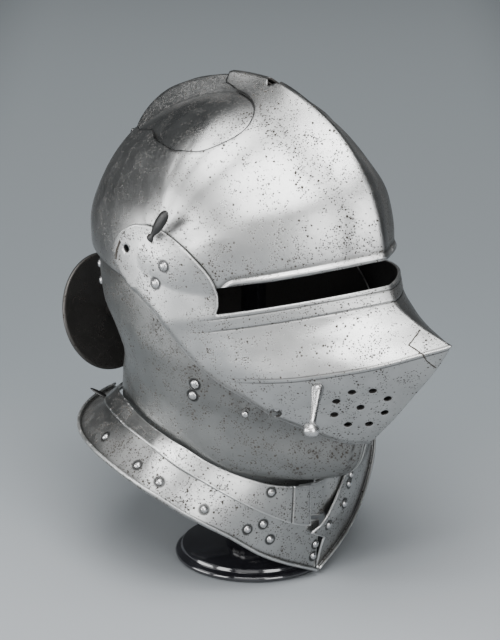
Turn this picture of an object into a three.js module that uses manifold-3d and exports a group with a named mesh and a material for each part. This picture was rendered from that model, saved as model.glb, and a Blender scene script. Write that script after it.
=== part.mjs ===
// Steel armet on a round display stand.
// Millimetres, +Z up, face towards -Y, the wearer's right on -X, origin on the floor under the post.
import * as THREE from 'three';
import Module from 'manifold-3d';
import { mergeVertices } from 'three/addons/utils/BufferGeometryUtils.js';

const DEG = Math.PI / 180;

// The skull is drawn as slices that turn about a line through both ears.
const EAR_LINE = { y: 3, z: 225 };
const SKULL_HALF_WIDTH = 87;
const SKULL_THICKNESS = 1.7;
// The comb's flanks rise in a hollow curve from its foot to a crest this far either side of the middle.
const COMB_CREST = 0.7;
const COMB_HOLLOW = 1.2;
const COMB_SPREAD = 0.6;

// The helmet leans back on its stand, so the sight and the visor's crease are level in a tilted frame.
const LEAN = 13;
const SIGHT_TOP = 196.5;
const SIGHT_BOTTOM = 181;
const CREASE = 142.5;

const BROW_GAP = 0.9;
const BROW_THICKNESS = 1.5;
const LIP_HEIGHT = 4.5;
const LIP_FLARE = 1.8;
const LIP_END = -50;
const VISOR_THICKNESS = 1.8;
const CHEEK_THICKNESS = 1.6;
const GORGET_THICKNESS = 1.5;
const ARM_STAND_OFF = 1.2;
const TUCK_GAP = 0.8;
const UP = new THREE.Vector3(0, 0, 1);

// The skull's lower edge behind the ears climbs a little towards the nape.
const REAR_EDGE = 203.5;
const REAR_EDGE_RISE = 0.12;
const REAR_PART = 18;

// The engraved step below the sight.
const STEP = 170.3;

const RIVET = { radius: 3, height: 2.4, gap: 0.45, sides: 7 };
const LAME_RIVET_RADIUS = 2.5;
const PLUME = { turn: 78.4, size: 5.6, depth: 88 };
const PIVOT = { y: 23.1, z: 227.2, hole: 2.3, radius: 1.7, inner: 89.8, outer: 93.6 };
const BREATH_RADIUS = 2.3;
const CATCH = { level: 112.7, angle: 61.4, hole: 3.5, radius: 2.2, gap: 1.2 };
const CHEEK_STUD = { level: 144.6, angle: 57, radius: 2.2, length: 5.5 };
const PEG = { level: 131.5, angle: 51.8, x: -0.52, y: -0.28, z: -0.81, gap: 0.6 };
const PEG_PROFILE = [
  [0, 0], [4.2, 0], [3.8, 8], [2.9, 13], [2.2, 26], [2.2, 27.5], [4.6, 28.5], [5, 32], [3.8, 34.5], [0, 35.5],
];
const PIN = { x: 95.4, y: -1, z: 238.5, thin: 0.5 };
// The right pin leans forward, the left one a little back.
const PIN_LEAN = { right: { y: -0.6, z: 0.8 }, left: { y: 0.1, z: 0.995 } };
const PIN_PROFILE = [[0, 0], [2.6, 0], [2.6, 3], [1.6, 5], [3.2, 10], [3.8, 15], [3.7, 20], [2.2, 25], [0, 26.5]];
const RONDEL = { radius: 40.3, y: 137.1, z: 138.7, tilt: 15.8, stem: 3.4 };
const BASE = { radius: 52, thickness: 8.5 };
const POST = { hub: 18.5, hubTop: 26, radius: 8, padRadius: 20, top: 307.5 };

const ARM_RIVETS = [
  { level: 214.6, angle: 79.3 },
  { level: 203.9, angle: 84.1 },
];
const CHEEK_RIVETS = [
  { level: 150.2, angle: 75.3 },
  { level: 141.7, angle: 76.9 },
  { level: 188, angle: 140 },
  { level: 174, angle: 138 },
];
const SIDE_RIVETS = [
  { t: 0.6, angle: 113 },
  { t: 0.64, angle: 92.4 },
  { t: 0.65, angle: 77.7 },
  { t: 0.68, angle: 54.3 },
];
const RIGHT_RIVETS = [
  { t: 0.63, angle: 35.4 },
  { t: 0.31, angle: 29.9 },
  { t: 0.61, angle: 25.3 },
  { t: 0.47, angle: 1.6 },
  { t: 0.75, angle: 2.3 },
];
const UPPER_RIVET = { t: -0.78, angle: 29.2 };
const LEFT_RIVETS = [
  { t: 0.06, angle: 3 },
  { t: -0.1, angle: 14.2 },
  { t: -0.43, angle: 19.2 },
  { t: -0.58, angle: 22 },
];

const BREATH_HOLES = [
  { level: 123.1, angle: 41.1 },
  { level: 120.8, angle: 33.9 },
  { level: 116.4, angle: 44.2 },
  { level: 111.8, angle: 24.3 },
  { level: 108.7, angle: 34.2 },
  { level: 106.2, angle: 42.9 },
  { level: 101.7, angle: 20.1 },
  { level: 97.1, angle: 35.7 },
  { level: 94.9, angle: 24.6 },
];

// Skull slices: turn counts degrees from the face over the crown to the nape; foot is the comb's half width.
const SKULL = [
  { at: -20, radius: 108.6, comb: 1.6, foot: 14, power: 0.85 },
  { at: 0, radius: 108.8, comb: 1.6, foot: 14, power: 0.85 },
  { at: 20, radius: 107.6, comb: 1.6, foot: 15, power: 0.85 },
  { at: 40, radius: 102.8, comb: 2.5, foot: 17, power: 0.93 },
  { at: 60, radius: 97.2, comb: 4.1, foot: 17, power: 0.87 },
  { at: 75, radius: 93.2, comb: 7, foot: 14, power: 0.68 },
  { at: 90, radius: 90.3, comb: 8.6, foot: 9.5, power: 0.5 },
  { at: 105, radius: 88.9, comb: 11, foot: 7, power: 0.52 },
  { at: 120, radius: 91, comb: 11.7, foot: 6.4, power: 0.57 },
  { at: 134, radius: 95.7, comb: 12.3, foot: 6.2, power: 0.57 },
  { at: 148, radius: 101.3, comb: 11, foot: 6.2, power: 0.555 },
  { at: 165, radius: 106.8, comb: 6, foot: 6.2, power: 0.52 },
  { at: 180, radius: 111.9, comb: 0.8, foot: 6, power: 0.5 },
  { at: 205, radius: 112.9, comb: 0, foot: 6, power: 0.5 },
];

// Visor sections, level in the leaning frame: height, front point, half width and how pointed the nose is.
const VISOR = [
  { at: 70, front: -108, halfWidth: 40, power: 0.8 },
  { at: 78.3, front: -120, halfWidth: 42, power: 0.82 },
  { at: 91.5, front: -139.7, halfWidth: 54, power: 0.86 },
  { at: 101, front: -152.5, halfWidth: 63, power: 0.9 },
  { at: 111, front: -165.2, halfWidth: 71, power: 0.93 },
  { at: 127, front: -185.5, halfWidth: 78, power: 0.96 },
  { at: CREASE, front: -201.3, halfWidth: 82, power: 0.98, corner: true },
  { at: 147.3, front: -192.7, halfWidth: 84, power: 0.96 },
  { at: 158, front: -175, halfWidth: 87, power: 0.92 },
  { at: 171.2, front: -161.3, halfWidth: 90, power: 0.88 },
  { at: 181, front: -159.5, halfWidth: 92, power: 0.87 },
  { at: 250, front: -157, halfWidth: 92, power: 0.87 },
];
// How far the crease along the visor's side hangs below its two ends, by the angle round from the front.
const DROOP = [
  { at: 0, drop: 0 },
  { at: 20, drop: 2.2 },
  { at: 43, drop: 6.6 },
  { at: 57, drop: 7.2 },
  { at: 70, drop: 4.6 },
  { at: 80, drop: 0 },
];
const CREASE_DROOP_REACH = 28;
const VISOR_WIDEST = -36.6;
const VISOR_REAR = 110;

// The visor's outline seen from the side, in the leaning frame.
const VISOR_OUTLINE = [
  [-113, 82], [-104.5, 97], [-95.6, 109], [-86.9, 123.8], [-73.9, 136], [-67.7, 142], [-59, 154.7], [-51.6, 169],
  [-44, 182], [-30.6, 196], [-18.5, 209.8], [-14.5, 217], [-13.7, 224], [-16.8, 231], [-26.5, 238], [-41.4, 241.8],
  [-57.2, 237.7], [-72.4, 227], [-81.2, 216.2], [-86.6, 205.9], [-88, 198], [-87.2, 186], [-85, 181.5],
  [-85, SIGHT_BOTTOM], [-230, SIGHT_BOTTOM], [-230, 70], [-122, 77],
];

// Seen from above: the round cut in the reinforcing plate on each side of the comb, right half.
const WINDOW_OUTLINE = [
  [0, 19], [-4.5, 19.5], [-6, 21], [-7.5, 14], [-11.8, 1.6], [-16.9, -13.4], [-23.4, -21.6], [-33, -25],
  [-42.6, -22.2], [-55.7, -13], [-62.8, -3.2], [-64.5, 7], [-61.3, 18], [-54, 34], [-45.5, 44.8],
  [-39, 62], [-27, 77], [-16, 92], [-7, 104], [0, 108],
];
const WINDOW_ABOVE = 250;

// Seen from the side, in the leaning frame: the cheek plates' upper edge runs under the visor.
const CHEEK_OUTLINE = [
  [-170, 20], [-170, 93], [-121, 93], [-112, 107], [-103, 119], [-95, 133], [-82, 145], [-70, 164], [-58, 178],
  [-50, 191], [-40, 206], [-28, 260], [150, 260], [150, -60], [-170, -60],
];
const CHEEK_END = 152;
const CHIN_GAP = 0.9;
const NAPE_START = 147;

// Seen from the front: the left lower lame laps over the right one in a slanting edge with a tab.
const LAP_OUTLINE = [
  [1, -20], [1.3, 20], [2.7, 27], [-11.7, 34.4], [0, 41.3], [9.4, 49.6], [17.4, 58], [26, 66.5], [60, 100],
  [200, 160], [200, -20],
];

// Neck rings, from the ears down to the gorget: each is an oval in a plane that dips to the front.
const NECK = [
  { at: 76, dip: 14, halfWidth: 78.2, front: -54, rear: 91.5, power: 0.52 },
  { at: 90, dip: 21.5, halfWidth: 77.4, front: -55, rear: 91.5, power: 0.52 },
  { at: 98, dip: 23, halfWidth: 76.8, front: -60, rear: 91, power: 0.55 },
  { at: 108, dip: 23, halfWidth: 75.8, front: -76, rear: 90, power: 0.6 },
  { at: 122, dip: 20, halfWidth: 76.4, front: -92, rear: 91, power: 0.74 },
  { at: 134, dip: 17.3, halfWidth: 78.4, front: -97, rear: 95.2, power: 0.86 },
  { at: 146, dip: 14.6, halfWidth: 80.6, front: -98.7, rear: 100.3, power: 0.72 },
  { at: 165, dip: 10, halfWidth: 84, front: -100, rear: 108, power: 0.7 },
  { at: 190, dip: 5, halfWidth: 84.8, front: -101, rear: 110.5, power: 0.7 },
  { at: 214, dip: 0, halfWidth: 80.5, front: -102, rear: 111, power: 0.7 },
];

// Gorget rings by the angle round from the front: top edge, seam between the lames and lower rim. The lower
// lames also cover a part of the upper ones, from inside on the right and from outside on the left.
const GORGET = [
  { at: 0, topZ: 66, seamZ: 37, rimZ: 5, tucked: 0.1, lapped: 1.1 },
  { at: 14, topZ: 68.5, seamZ: 43, rimZ: 16, tucked: 0.1, lapped: 1.06 },
  { at: 26, topZ: 72, seamZ: 52, rimZ: 27, tucked: 0.3, lapped: 1.05 },
  { at: 42, topZ: 80, seamZ: 66, rimZ: 46, tucked: 0.4, lapped: 0.7 },
  { at: 60, topZ: 90.5, seamZ: 81.5, rimZ: 62.5, tucked: 0.5, lapped: 0.5 },
  { at: 75, topZ: 100, seamZ: 91.5, rimZ: 74, tucked: 0.5, lapped: 0.5 },
  { at: 90, topZ: 106, seamZ: 100.5, rimZ: 81, tucked: 0.5, lapped: 0.5 },
  { at: 105, topZ: 111.5, seamZ: 106, rimZ: 87, tucked: 0.5, lapped: 0.5 },
  { at: 120, topZ: 116, seamZ: 108.5, rimZ: 89.5, tucked: 0.5, lapped: 0.5 },
  { at: 135, topZ: 114, seamZ: 106.5, rimZ: 89.8, tucked: 0.5, lapped: 0.5 },
  { at: 150, topZ: 109.5, seamZ: 102.5, rimZ: 90, tucked: 0.5, lapped: 0.5 },
  { at: 180, topZ: 107, seamZ: 100.5, rimZ: 90.5, tucked: 0.5, lapped: 0.5 },
];
const TOP_RING = { widest: 4, halfWidth: 81, front: -60, rear: 95, power: 0.52 };
const SEAM_RING = { widest: 4, halfWidth: 90, front: -61, rear: 103, power: 0.52 };
const RIM_RING = { widest: 4, halfWidth: 105, front: -55, rear: 119, power: 0.55 };

const RIM_BEND = 0.9;
const RIM_TURN = 0.12;
const FLANGE_CUT = 0.2;

// A smooth reading of one named column; a row marked corner keeps a sharp turn there.
function column(rows, name) {
  const x = rows.map((row) => row.at);
  const y = rows.map((row) => row[name]);
  const slope = (i) => (y[i + 1] - y[i]) / (x[i + 1] - x[i]);
  const tangent = (i, side) => {
    if (i === 0 || (rows[i].corner && side > 0)) return slope(i);
    if (i === rows.length - 1 || (rows[i].corner && side < 0)) return slope(i - 1);
    const before = slope(i - 1);
    const after = slope(i);
    if (before * after <= 0) return 0;
    const wide = x[i + 1] - x[i];
    const wider = x[i] - x[i - 1];
    return (wide + wider) * 3 / ((2 * wide + wider) / before + (wide + 2 * wider) / after);
  };
  return (at) => {
    let i = x.findIndex((value) => value > at) - 1;
    if (i < 0) i = at < x[0] ? 0 : rows.length - 2;
    const step = x[i + 1] - x[i];
    const t = Math.min(1, Math.max(0, (at - x[i]) / step));
    const k = 1 - t;
    return y[i] * k * k * (1 + 2 * t) + y[i + 1] * t * t * (3 - 2 * t)
      + step * (tangent(i, 1) * t * k * k - tangent(i + 1, -1) * t * t * k);
  };
}

const skullRadius = column(SKULL, 'radius');
const skullComb = column(SKULL, 'comb');
const skullFoot = column(SKULL, 'foot');
const skullPower = column(SKULL, 'power');
const visorFront = column(VISOR, 'front');
const visorHalfWidth = column(VISOR, 'halfWidth');
const visorPower = column(VISOR, 'power');
const creaseDroop = column(DROOP, 'drop');
const neckDip = column(NECK, 'dip');
const neckHalfWidth = column(NECK, 'halfWidth');
const neckFront = column(NECK, 'front');
const neckRear = column(NECK, 'rear');
const neckPower = column(NECK, 'power');
const topZ = column(GORGET, 'topZ');
const seamZ = column(GORGET, 'seamZ');
const rimZ = column(GORGET, 'rimZ');
const tucked = column(GORGET, 'tucked');
const lapped = column(GORGET, 'lapped');

// From the leaning frame to the standing one, and back.
const leanSin = Math.sin(LEAN * DEG);
const leanCos = Math.cos(LEAN * DEG);
const stand = (x, y, h) => new THREE.Vector3(x, y * leanCos + h * leanSin, h * leanCos - y * leanSin);
const leanY = (p) => p.y * leanCos - p.z * leanSin;
const leanHeight = (p) => p.y * leanSin + p.z * leanCos;

const smoothStep = (from, to, value) => {
  const t = Math.min(1, Math.max(0, (value - from) / (to - from)));
  return t * t * (3 - 2 * t);
};

// The skull's outer face, or a face lifted off it: turn in degrees, across from -1 at one ear to 1.
function skullPoint(turn, across, lift = 0) {
  const halfWidth = SKULL_HALF_WIDTH + lift;
  const x = halfWidth * Math.sin(across * Math.PI / 2);
  const fall = 1 - Math.abs(x / halfWidth) ** (1 / skullPower(turn));
  const beside = Math.abs(x) - COMB_CREST - lift * COMB_SPREAD;
  const climb = 1 - Math.min(1, Math.max(0, beside / (skullFoot(turn) - COMB_CREST)));
  const comb = skullComb(turn) * climb ** COMB_HOLLOW;
  const r = (skullRadius(turn) + lift) * Math.sqrt(Math.max(0, fall)) + comb;
  return new THREE.Vector3(x, EAR_LINE.y - r * Math.cos(turn * DEG), EAR_LINE.z + r * Math.sin(turn * DEG));
}

// The skull's half width at a place seen from the side.
function skullReach(y, z, lift) {
  const r = Math.hypot(y - EAR_LINE.y, z - EAR_LINE.z);
  let turn = Math.atan2(z - EAR_LINE.z, EAR_LINE.y - y) / DEG;
  if (turn < -90) turn += 360;
  const fall = 1 - (r / (skullRadius(turn) + lift)) ** 2;
  return fall > 0 ? (SKULL_HALF_WIDTH + lift) * fall ** skullPower(turn) : 0;
}

// An oval seen from above: angle 0 is the front, 90 the wearer's right and 180 the back.
function oval(ring, angle) {
  const side = Math.abs(Math.sin(angle * DEG)) ** (2 * (Math.cos(angle * DEG) > 0 ? ring.power : 0.5));
  const reach = Math.cos(angle * DEG) > 0 ? ring.widest - ring.front : ring.rear - ring.widest;
  return {
    x: -Math.sign(Math.sin(angle * DEG)) * ring.halfWidth * side,
    y: ring.widest - reach * Math.cos(angle * DEG),
  };
}

function visorRing(height) {
  return {
    widest: VISOR_WIDEST,
    halfWidth: visorHalfWidth(height),
    front: visorFront(height),
    rear: VISOR_WIDEST + VISOR_REAR,
    power: visorPower(height),
  };
}

// The visor's outer face; its arms are held off the skull.
function visorPoint(level, angle) {
  const ring = visorRing(level);
  const at = oval(ring, angle);
  const fade = Math.max(0, 1 - Math.abs(level - CREASE) / CREASE_DROOP_REACH);
  const height = level - creaseDroop(Math.abs(angle)) * fade;
  const p = stand(at.x, at.y, height);
  const arm = skullReach(p.y, p.z, BROW_GAP + BROW_THICKNESS) + ARM_STAND_OFF + VISOR_THICKNESS;
  const x = level > SIGHT_BOTTOM - 30 ? Math.max(Math.abs(p.x), arm) : Math.abs(p.x);
  p.x = Math.sign(at.x) * (Math.abs(at.x) > 30 ? x : Math.abs(at.x));
  return p;
}

const neckRing = (level) => ({
  widest: 4,
  halfWidth: neckHalfWidth(level),
  front: neckFront(level),
  rear: neckRear(level),
  power: neckPower(level),
});

// The neck's outer face, or a face set inside it.
function neckPoint(level, angle, inset = 0) {
  const ring = neckRing(level);
  const at = oval({
    ...ring,
    halfWidth: ring.halfWidth - inset,
    front: ring.front + inset,
    rear: ring.rear - inset,
  }, angle);
  return new THREE.Vector3(at.x, at.y, level + at.y * Math.tan(neckDip(level) * DEG));
}

// A place on the cone between two gorget rings, and the direction straight out of that cone.
function onCone(from, to, zFrom, zTo, t, angle) {
  const a = oval(from, angle);
  const b = oval(to, angle);
  const p = new THREE.Vector3(a.x + (b.x - a.x) * t, a.y + (b.y - a.y) * t, zFrom * (1 - t) + zTo * t);
  const down = new THREE.Vector3(b.x - a.x, b.y - a.y, zTo - zFrom).normalize();
  const out = new THREE.Vector3(p.x, p.y, 0).normalize();
  out.addScaledVector(down, -out.dot(down)).normalize();
  return { p, down, out };
}

// The gorget's outer face: t runs from -1 at the top over 0 at the seam to 1 at the rim, where it turns up.
function gorgetPoint(t, angle, lift = 0) {
  const round = Math.abs(angle);
  const upper = onCone(TOP_RING, SEAM_RING, topZ(round), seamZ(round), Math.min(t, 0) + 1, angle);
  const lower = onCone(SEAM_RING, RIM_RING, seamZ(round), rimZ(round), Math.min(Math.max(t, 0), 1), angle);
  const p = t < 0 ? upper.p : lower.p;
  const out = upper.out.lerp(lower.out, smoothStep(-0.3, 0.3, t)).normalize();
  p.addScaledVector(out, lift);
  const bend = Math.max(0, t - 1) * Math.PI / RIM_TURN;
  p.addScaledVector(lower.out, RIM_BEND * (1 - Math.cos(bend)));
  return p.addScaledVector(lower.down, RIM_BEND * Math.sin(bend));
}

// Signed distance to a closed outline in the side view, more than 0 inside.
function insideOutline(points) {
  return (y, z) => {
    let nearest = Infinity;
    let inside = false;
    points.forEach(([y1, z1], i) => {
      const [y2, z2] = points[(i + 1) % points.length];
      const dy = y2 - y1;
      const dz = z2 - z1;
      const t = Math.min(1, Math.max(0, ((y - y1) * dy + (z - z1) * dz) / (dy * dy + dz * dz)));
      nearest = Math.min(nearest, Math.hypot(y - y1 - t * dy, z - z1 - t * dz));
      if ((z1 > z) !== (z2 > z) && y < y1 + (z - z1) * dy / dz) inside = !inside;
    });
    return inside ? nearest : -nearest;
  };
}

const mirrorOutline = (points) => [
  ...points,
  ...points.filter(([x]) => x !== 0).map(([x, y]) => [-x, y]).reverse(),
];

// Splits a range into equal steps.
const steps = (from, to, count) => Array.from({ length: count + 1 }, (_, i) => from + (to - from) * i / count);

// A plate cut from a curved face: rows and cols are its two parameters, keep its trimming edges.
function plate({ rows, cols, face, thickness, keep = [], centre = new THREE.Vector3(0, 0, 200) }) {
  const corners = [];
  const addCorner = (a, b) => corners.push({ a, b, p: face(a, b) }) - 1;
  rows.forEach((a) => cols.forEach((b) => addCorner(a, b)));
  let polygons = [];
  for (let i = 0; i + 1 < rows.length; i += 1) {
    for (let j = 0; j + 1 < cols.length; j += 1) {
      const k = i * cols.length + j;
      polygons.push([k, k + 1, k + 1 + cols.length, k + cols.length]);
    }
  }
  keep.forEach((edge) => { polygons = trim(polygons, corners, edge, face, addCorner); });

  const merged = new Map();
  const welded = corners.map(({ p }, i) => {
    const key = p.toArray().map((v) => v.toFixed(3)).join();
    if (!merged.has(key)) merged.set(key, i);
    return merged.get(key);
  });
  const middle = normalAt(face, rows[rows.length >> 1], cols[cols.length >> 2], rows, cols);
  const flip = middle.dot(face(rows[rows.length >> 1], cols[cols.length >> 2]).sub(centre)) < 0 ? -1 : 1;

  const triangles = [];
  polygons.forEach((polygon) => {
    const ids = polygon.map((id) => welded[id]).filter((id, i, list) => id !== list[(i + 1) % list.length]);
    for (let i = 1; i + 1 < ids.length; i += 1) {
      const triangle = [ids[0], ids[i], ids[i + 1]];
      if (new Set(triangle).size === 3) triangles.push(flip > 0 ? triangle.reverse() : triangle);
    }
  });

  const used = [...new Set(triangles.flat())];
  const place = new Map(used.map((id, i) => [id, i]));
  const vertices = [];
  used.forEach((id) => vertices.push(...corners[id].p.toArray()));
  used.forEach((id) => {
    const normal = normalAt(face, corners[id].a, corners[id].b, rows, cols).multiplyScalar(flip);
    vertices.push(...corners[id].p.clone().addScaledVector(normal, -thickness).toArray());
  });
  const index = [];
  const open = new Map();
  triangles.forEach(([i, j, k]) => {
    const [a, b, c] = [place.get(i), place.get(j), place.get(k)];
    index.push(a, b, c, a + used.length, c + used.length, b + used.length);
    [[a, b], [b, c], [c, a]].forEach(([from, to]) => {
      if (!open.delete(`${to},${from}`)) open.set(`${from},${to}`, [from, to]);
    });
  });
  open.forEach(([from, to]) => {
    index.push(to, from, from + used.length, to, from + used.length, to + used.length);
  });
  const geometry = new THREE.BufferGeometry();
  geometry.setAttribute('position', new THREE.Float32BufferAttribute(vertices, 3));
  geometry.setIndex(index);
  geometry.computeVertexNormals();
  return geometry;
}

// Keeps the part of every polygon where the edge's value is 0 or more.
function trim(polygons, corners, edge, face, addCorner) {
  const value = corners.map(({ p, a, b }) => edge(p, a, b));
  const cuts = new Map();
  const cut = (inner, outer) => {
    const key = `${inner},${outer}`;
    if (cuts.has(key)) return cuts.get(key);
    let low = 0;
    let high = 1;
    const a = (t) => corners[inner].a + (corners[outer].a - corners[inner].a) * t;
    const b = (t) => corners[inner].b + (corners[outer].b - corners[inner].b) * t;
    for (let i = 0; i < 24; i += 1) {
      const t = (low + high) / 2;
      if (edge(face(a(t), b(t)), a(t), b(t)) >= 0) low = t;
      else high = t;
    }
    const id = low < 0.05 ? inner : addCorner(a(low), b(low));
    cuts.set(key, id);
    return id;
  };
  return polygons.map((polygon) => {
    const kept = [];
    polygon.forEach((id, i) => {
      const next = polygon[(i + 1) % polygon.length];
      if (value[id] >= 0) kept.push(id);
      if (value[id] >= 0 && value[next] < 0) kept.push(cut(id, next));
      if (value[id] < 0 && value[next] >= 0) kept.push(cut(next, id));
    });
    return kept;
  }).filter((polygon) => polygon.length > 2);
}

function normalAt(face, a, b, rows, cols) {
  const da = (rows[rows.length - 1] - rows[0]) * 1e-4;
  const db = (cols[cols.length - 1] - cols[0]) * 1e-4;
  const clampTo = (value, list, d) => {
    const least = Math.min(...list) + 3 * Math.abs(d);
    const most = Math.max(...list) - 3 * Math.abs(d);
    return Math.min(most, Math.max(least, value));
  };
  const a0 = clampTo(a, rows, da);
  const b0 = clampTo(b, cols, db);
  const along = face(a0 + da, b0).sub(face(a0 - da, b0));
  const across = face(a0, b0 + db).sub(face(a0, b0 - db));
  return along.cross(across).normalize();
}

// Manifold solids join and cut the closed meshes.
const wasm = await Module();
wasm.setup();

function toSolid(geometry) {
  const index = geometry.index.array;
  return new wasm.Manifold(new wasm.Mesh({
    numProp: 3,
    vertProperties: new Float32Array(geometry.getAttribute('position').array),
    triVerts: new Uint32Array(index),
  }));
}

function toGeometry(solid) {
  const mesh = solid.getMesh();
  const geometry = new THREE.BufferGeometry();
  geometry.setAttribute('position', new THREE.Float32BufferAttribute(mesh.vertProperties, 3));
  geometry.setIndex(Array.from(mesh.triVerts));
  geometry.computeVertexNormals();
  return geometry;
}

// Only the places count: normals and UVs would keep the seams of a lathe apart.
function welded(geometry) {
  geometry.deleteAttribute('normal');
  geometry.deleteAttribute('uv');
  const merged = mergeVertices(geometry, 1e-4);
  merged.computeVertexNormals();
  return merged;
}

const LATHE_AXIS = new THREE.Vector3(0, 1, 0);

// A turned shape of (radius, height) points, standing at a place along a direction.
function turned(points, sides, place = new THREE.Vector3(), direction = UP, flat = 1) {
  const geometry = new THREE.LatheGeometry(points.map(([r, h]) => new THREE.Vector2(r, h)), sides);
  geometry.scale(flat, 1, 1);
  geometry.applyQuaternion(new THREE.Quaternion().setFromUnitVectors(LATHE_AXIS, direction));
  geometry.translate(place.x, place.y, place.z);
  return welded(geometry);
}

const rod = (radius, from, to, sides) => {
  const direction = to.clone().sub(from);
  const length = direction.length();
  return turned([[0, 0], [radius, 0], [radius, length], [0, length]], sides, from, direction.normalize());
};

function cutAway(geometry, cutters) {
  return toGeometry(cutters.reduce((solid, cutter) => solid.subtract(toSolid(cutter)), toSolid(geometry)));
}

const mirrored = (geometry) => {
  const copy = geometry.clone();
  copy.scale(-1, 1, 1);
  const index = Array.from(copy.index.array);
  for (let i = 0; i < index.length; i += 3) [index[i], index[i + 1]] = [index[i + 1], index[i]];
  copy.setIndex(index);
  copy.computeVertexNormals();
  return copy;
};

const armet = new THREE.Group();
const steel = () => new THREE.MeshStandardMaterial({ color: 0x9a9c9d, roughness: 0.35, metalness: 1 });
const darkSteel = () => new THREE.MeshStandardMaterial({ color: 0x2c2a28, roughness: 0.5, metalness: 1 });
const blackGloss = () => new THREE.MeshStandardMaterial({ color: 0x15161a, roughness: 0.2, metalness: 0.2 });

function add(name, geometry, material = steel()) {
  const mesh = new THREE.Mesh(geometry, material);
  mesh.name = name;
  armet.add(mesh);
  return mesh;
}

// The point and outward direction where a face's own place lies on the finished, faceted plate.
function onPlate(mesh, face, a, b) {
  const p = face(a, b);
  const d = 1e-3;
  const out = face(a + d * 100, b).sub(p).cross(face(a, b + d * 100).sub(p)).normalize();
  if (out.dot(p.clone().sub(new THREE.Vector3(0, 0, p.z))) < 0) out.negate();
  mesh.updateMatrixWorld();
  const ray = new THREE.Raycaster(p.clone().addScaledVector(out, 15), out.clone().negate());
  const hit = ray.intersectObject(mesh)[0];
  return { p: hit ? hit.point : p, out: hit ? hit.face.normal.clone() : out };
}

function rivet(name, mesh, face, a, b, radius = RIVET.radius) {
  const { p, out } = onPlate(mesh, face, a, b);
  const dome = [[0, 0], [radius, 0], [radius * 0.78, RIVET.height * 0.65], [0, RIVET.height]];
  add(name, turned(dome, RIVET.sides, p.addScaledVector(out, RIVET.gap), out));
}

// Skull and reinforcing plate: both follow the slices, and the comb's hollow runs inside them. The plate ends
// in a lip that turns out over the sight.
const acrossAt = (x) => Math.asin(x / SKULL_HALF_WIDTH) * 2 / Math.PI;
const HALF_COLS = [1.4, 4, 7, 11, 17, 27, 39, 52, 64, 75, 83, SKULL_HALF_WIDTH].map(acrossAt);
const SKULL_COLS = [...HALF_COLS.map((b) => -b).reverse(), 0, ...HALF_COLS];
const SKULL_ROWS = steps(-18, 213, 21);

const aboveRearEdge = (p) => p.z - REAR_EDGE - REAR_EDGE_RISE * (p.y - 40);
const skullKeep = (p) => (p.y > REAR_PART ? aboveRearEdge(p) : leanHeight(p) - SIGHT_TOP - 1.5);
const reinforceKeep = (p) => (p.y > REAR_PART ? aboveRearEdge(p) - 2 : leanHeight(p) - SIGHT_TOP);
const reinforceLift = BROW_GAP + BROW_THICKNESS;
const reinforcePoint = (turn, across) => {
  const p = skullPoint(turn, across, reinforceLift);
  const above = p.y > REAR_PART ? LIP_HEIGHT : leanHeight(p) - SIGHT_TOP;
  const out = new THREE.Vector3(p.x, p.y - EAR_LINE.y, 0).normalize();
  const flare = LIP_FLARE * (1 - smoothStep(-72, LIP_END, p.y));
  return p.addScaledVector(out, flare * smoothStep(0, LIP_HEIGHT, LIP_HEIGHT - above));
};
const inWindow = insideOutline(mirrorOutline(WINDOW_OUTLINE));

// The hole for a plume is a square pierced on its corner, astride the comb.
const plumeDirection = new THREE.Vector3(0, -Math.cos(PLUME.turn * DEG), Math.sin(PLUME.turn * DEG));
const plumeCut = (depth) => {
  const from = new THREE.Vector3(0, EAR_LINE.y, EAR_LINE.z).addScaledVector(plumeDirection, depth);
  return rod(PLUME.size, from, from.clone().addScaledVector(plumeDirection, 40), 4);
};

const skullPlate = plate({
  rows: SKULL_ROWS,
  cols: SKULL_COLS,
  face: (turn, across) => skullPoint(turn, across),
  thickness: SKULL_THICKNESS,
  keep: [skullKeep],
});
add('skull', cutAway(skullPlate, [plumeCut(PLUME.depth)]));

const reinforcePlate = plate({
  rows: SKULL_ROWS,
  cols: SKULL_COLS,
  face: reinforcePoint,
  thickness: BROW_THICKNESS,
  keep: [reinforceKeep, (p) => (p.z > WINDOW_ABOVE ? -inWindow(p.x, p.y) : 1)],
});
add('reinforcing_plate', cutAway(reinforcePlate, [plumeCut(PLUME.depth)]));

// Visor with its two arms, breath holes on the right, pivot holes and the hole for the catch.
const VISOR_ROWS = [72, 84, 96, 108, 119, 131, CREASE, 150, 160, STEP, SIGHT_BOTTOM, 191, 201, 211, 221, 231, 242];
const visorHalf = [4, 10, 17, 25, 34, 43, 52, 60, 64.5, 70, 78, 88, 98, 106];
const VISOR_COLS = [...visorHalf.map((a) => -a).reverse(), 0, ...visorHalf];
const visorInside = insideOutline(VISOR_OUTLINE);
const visorPlate = plate({
  rows: VISOR_ROWS,
  cols: VISOR_COLS,
  face: visorPoint,
  thickness: VISOR_THICKNESS,
  keep: [(p) => visorInside(leanY(p), leanHeight(p))],
  centre: new THREE.Vector3(0, 0, 160),
});
const through = (face, a, b, radius, sides) => {
  const p = face(a, b);
  const out = face(a + 0.1, b).sub(p).cross(face(a, b + 0.1).sub(p)).normalize();
  return rod(radius, p.clone().addScaledVector(out, -6), p.clone().addScaledVector(out, 6), sides);
};
const pivotHoles = [-1, 1].map((side) => rod(PIVOT.hole, new THREE.Vector3(side * 70, PIVOT.y, PIVOT.z),
  new THREE.Vector3(side * 110, PIVOT.y, PIVOT.z), 8));
const visorCutters = [
  ...BREATH_HOLES.map(({ level, angle }) => through(visorPoint, level, angle, BREATH_RADIUS, 6)),
  through(visorPoint, CATCH.level, CATCH.angle, CATCH.hole, 8),
  ...pivotHoles,
];
const visor = add('visor', cutAway(visorPlate, visorCutters));

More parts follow.
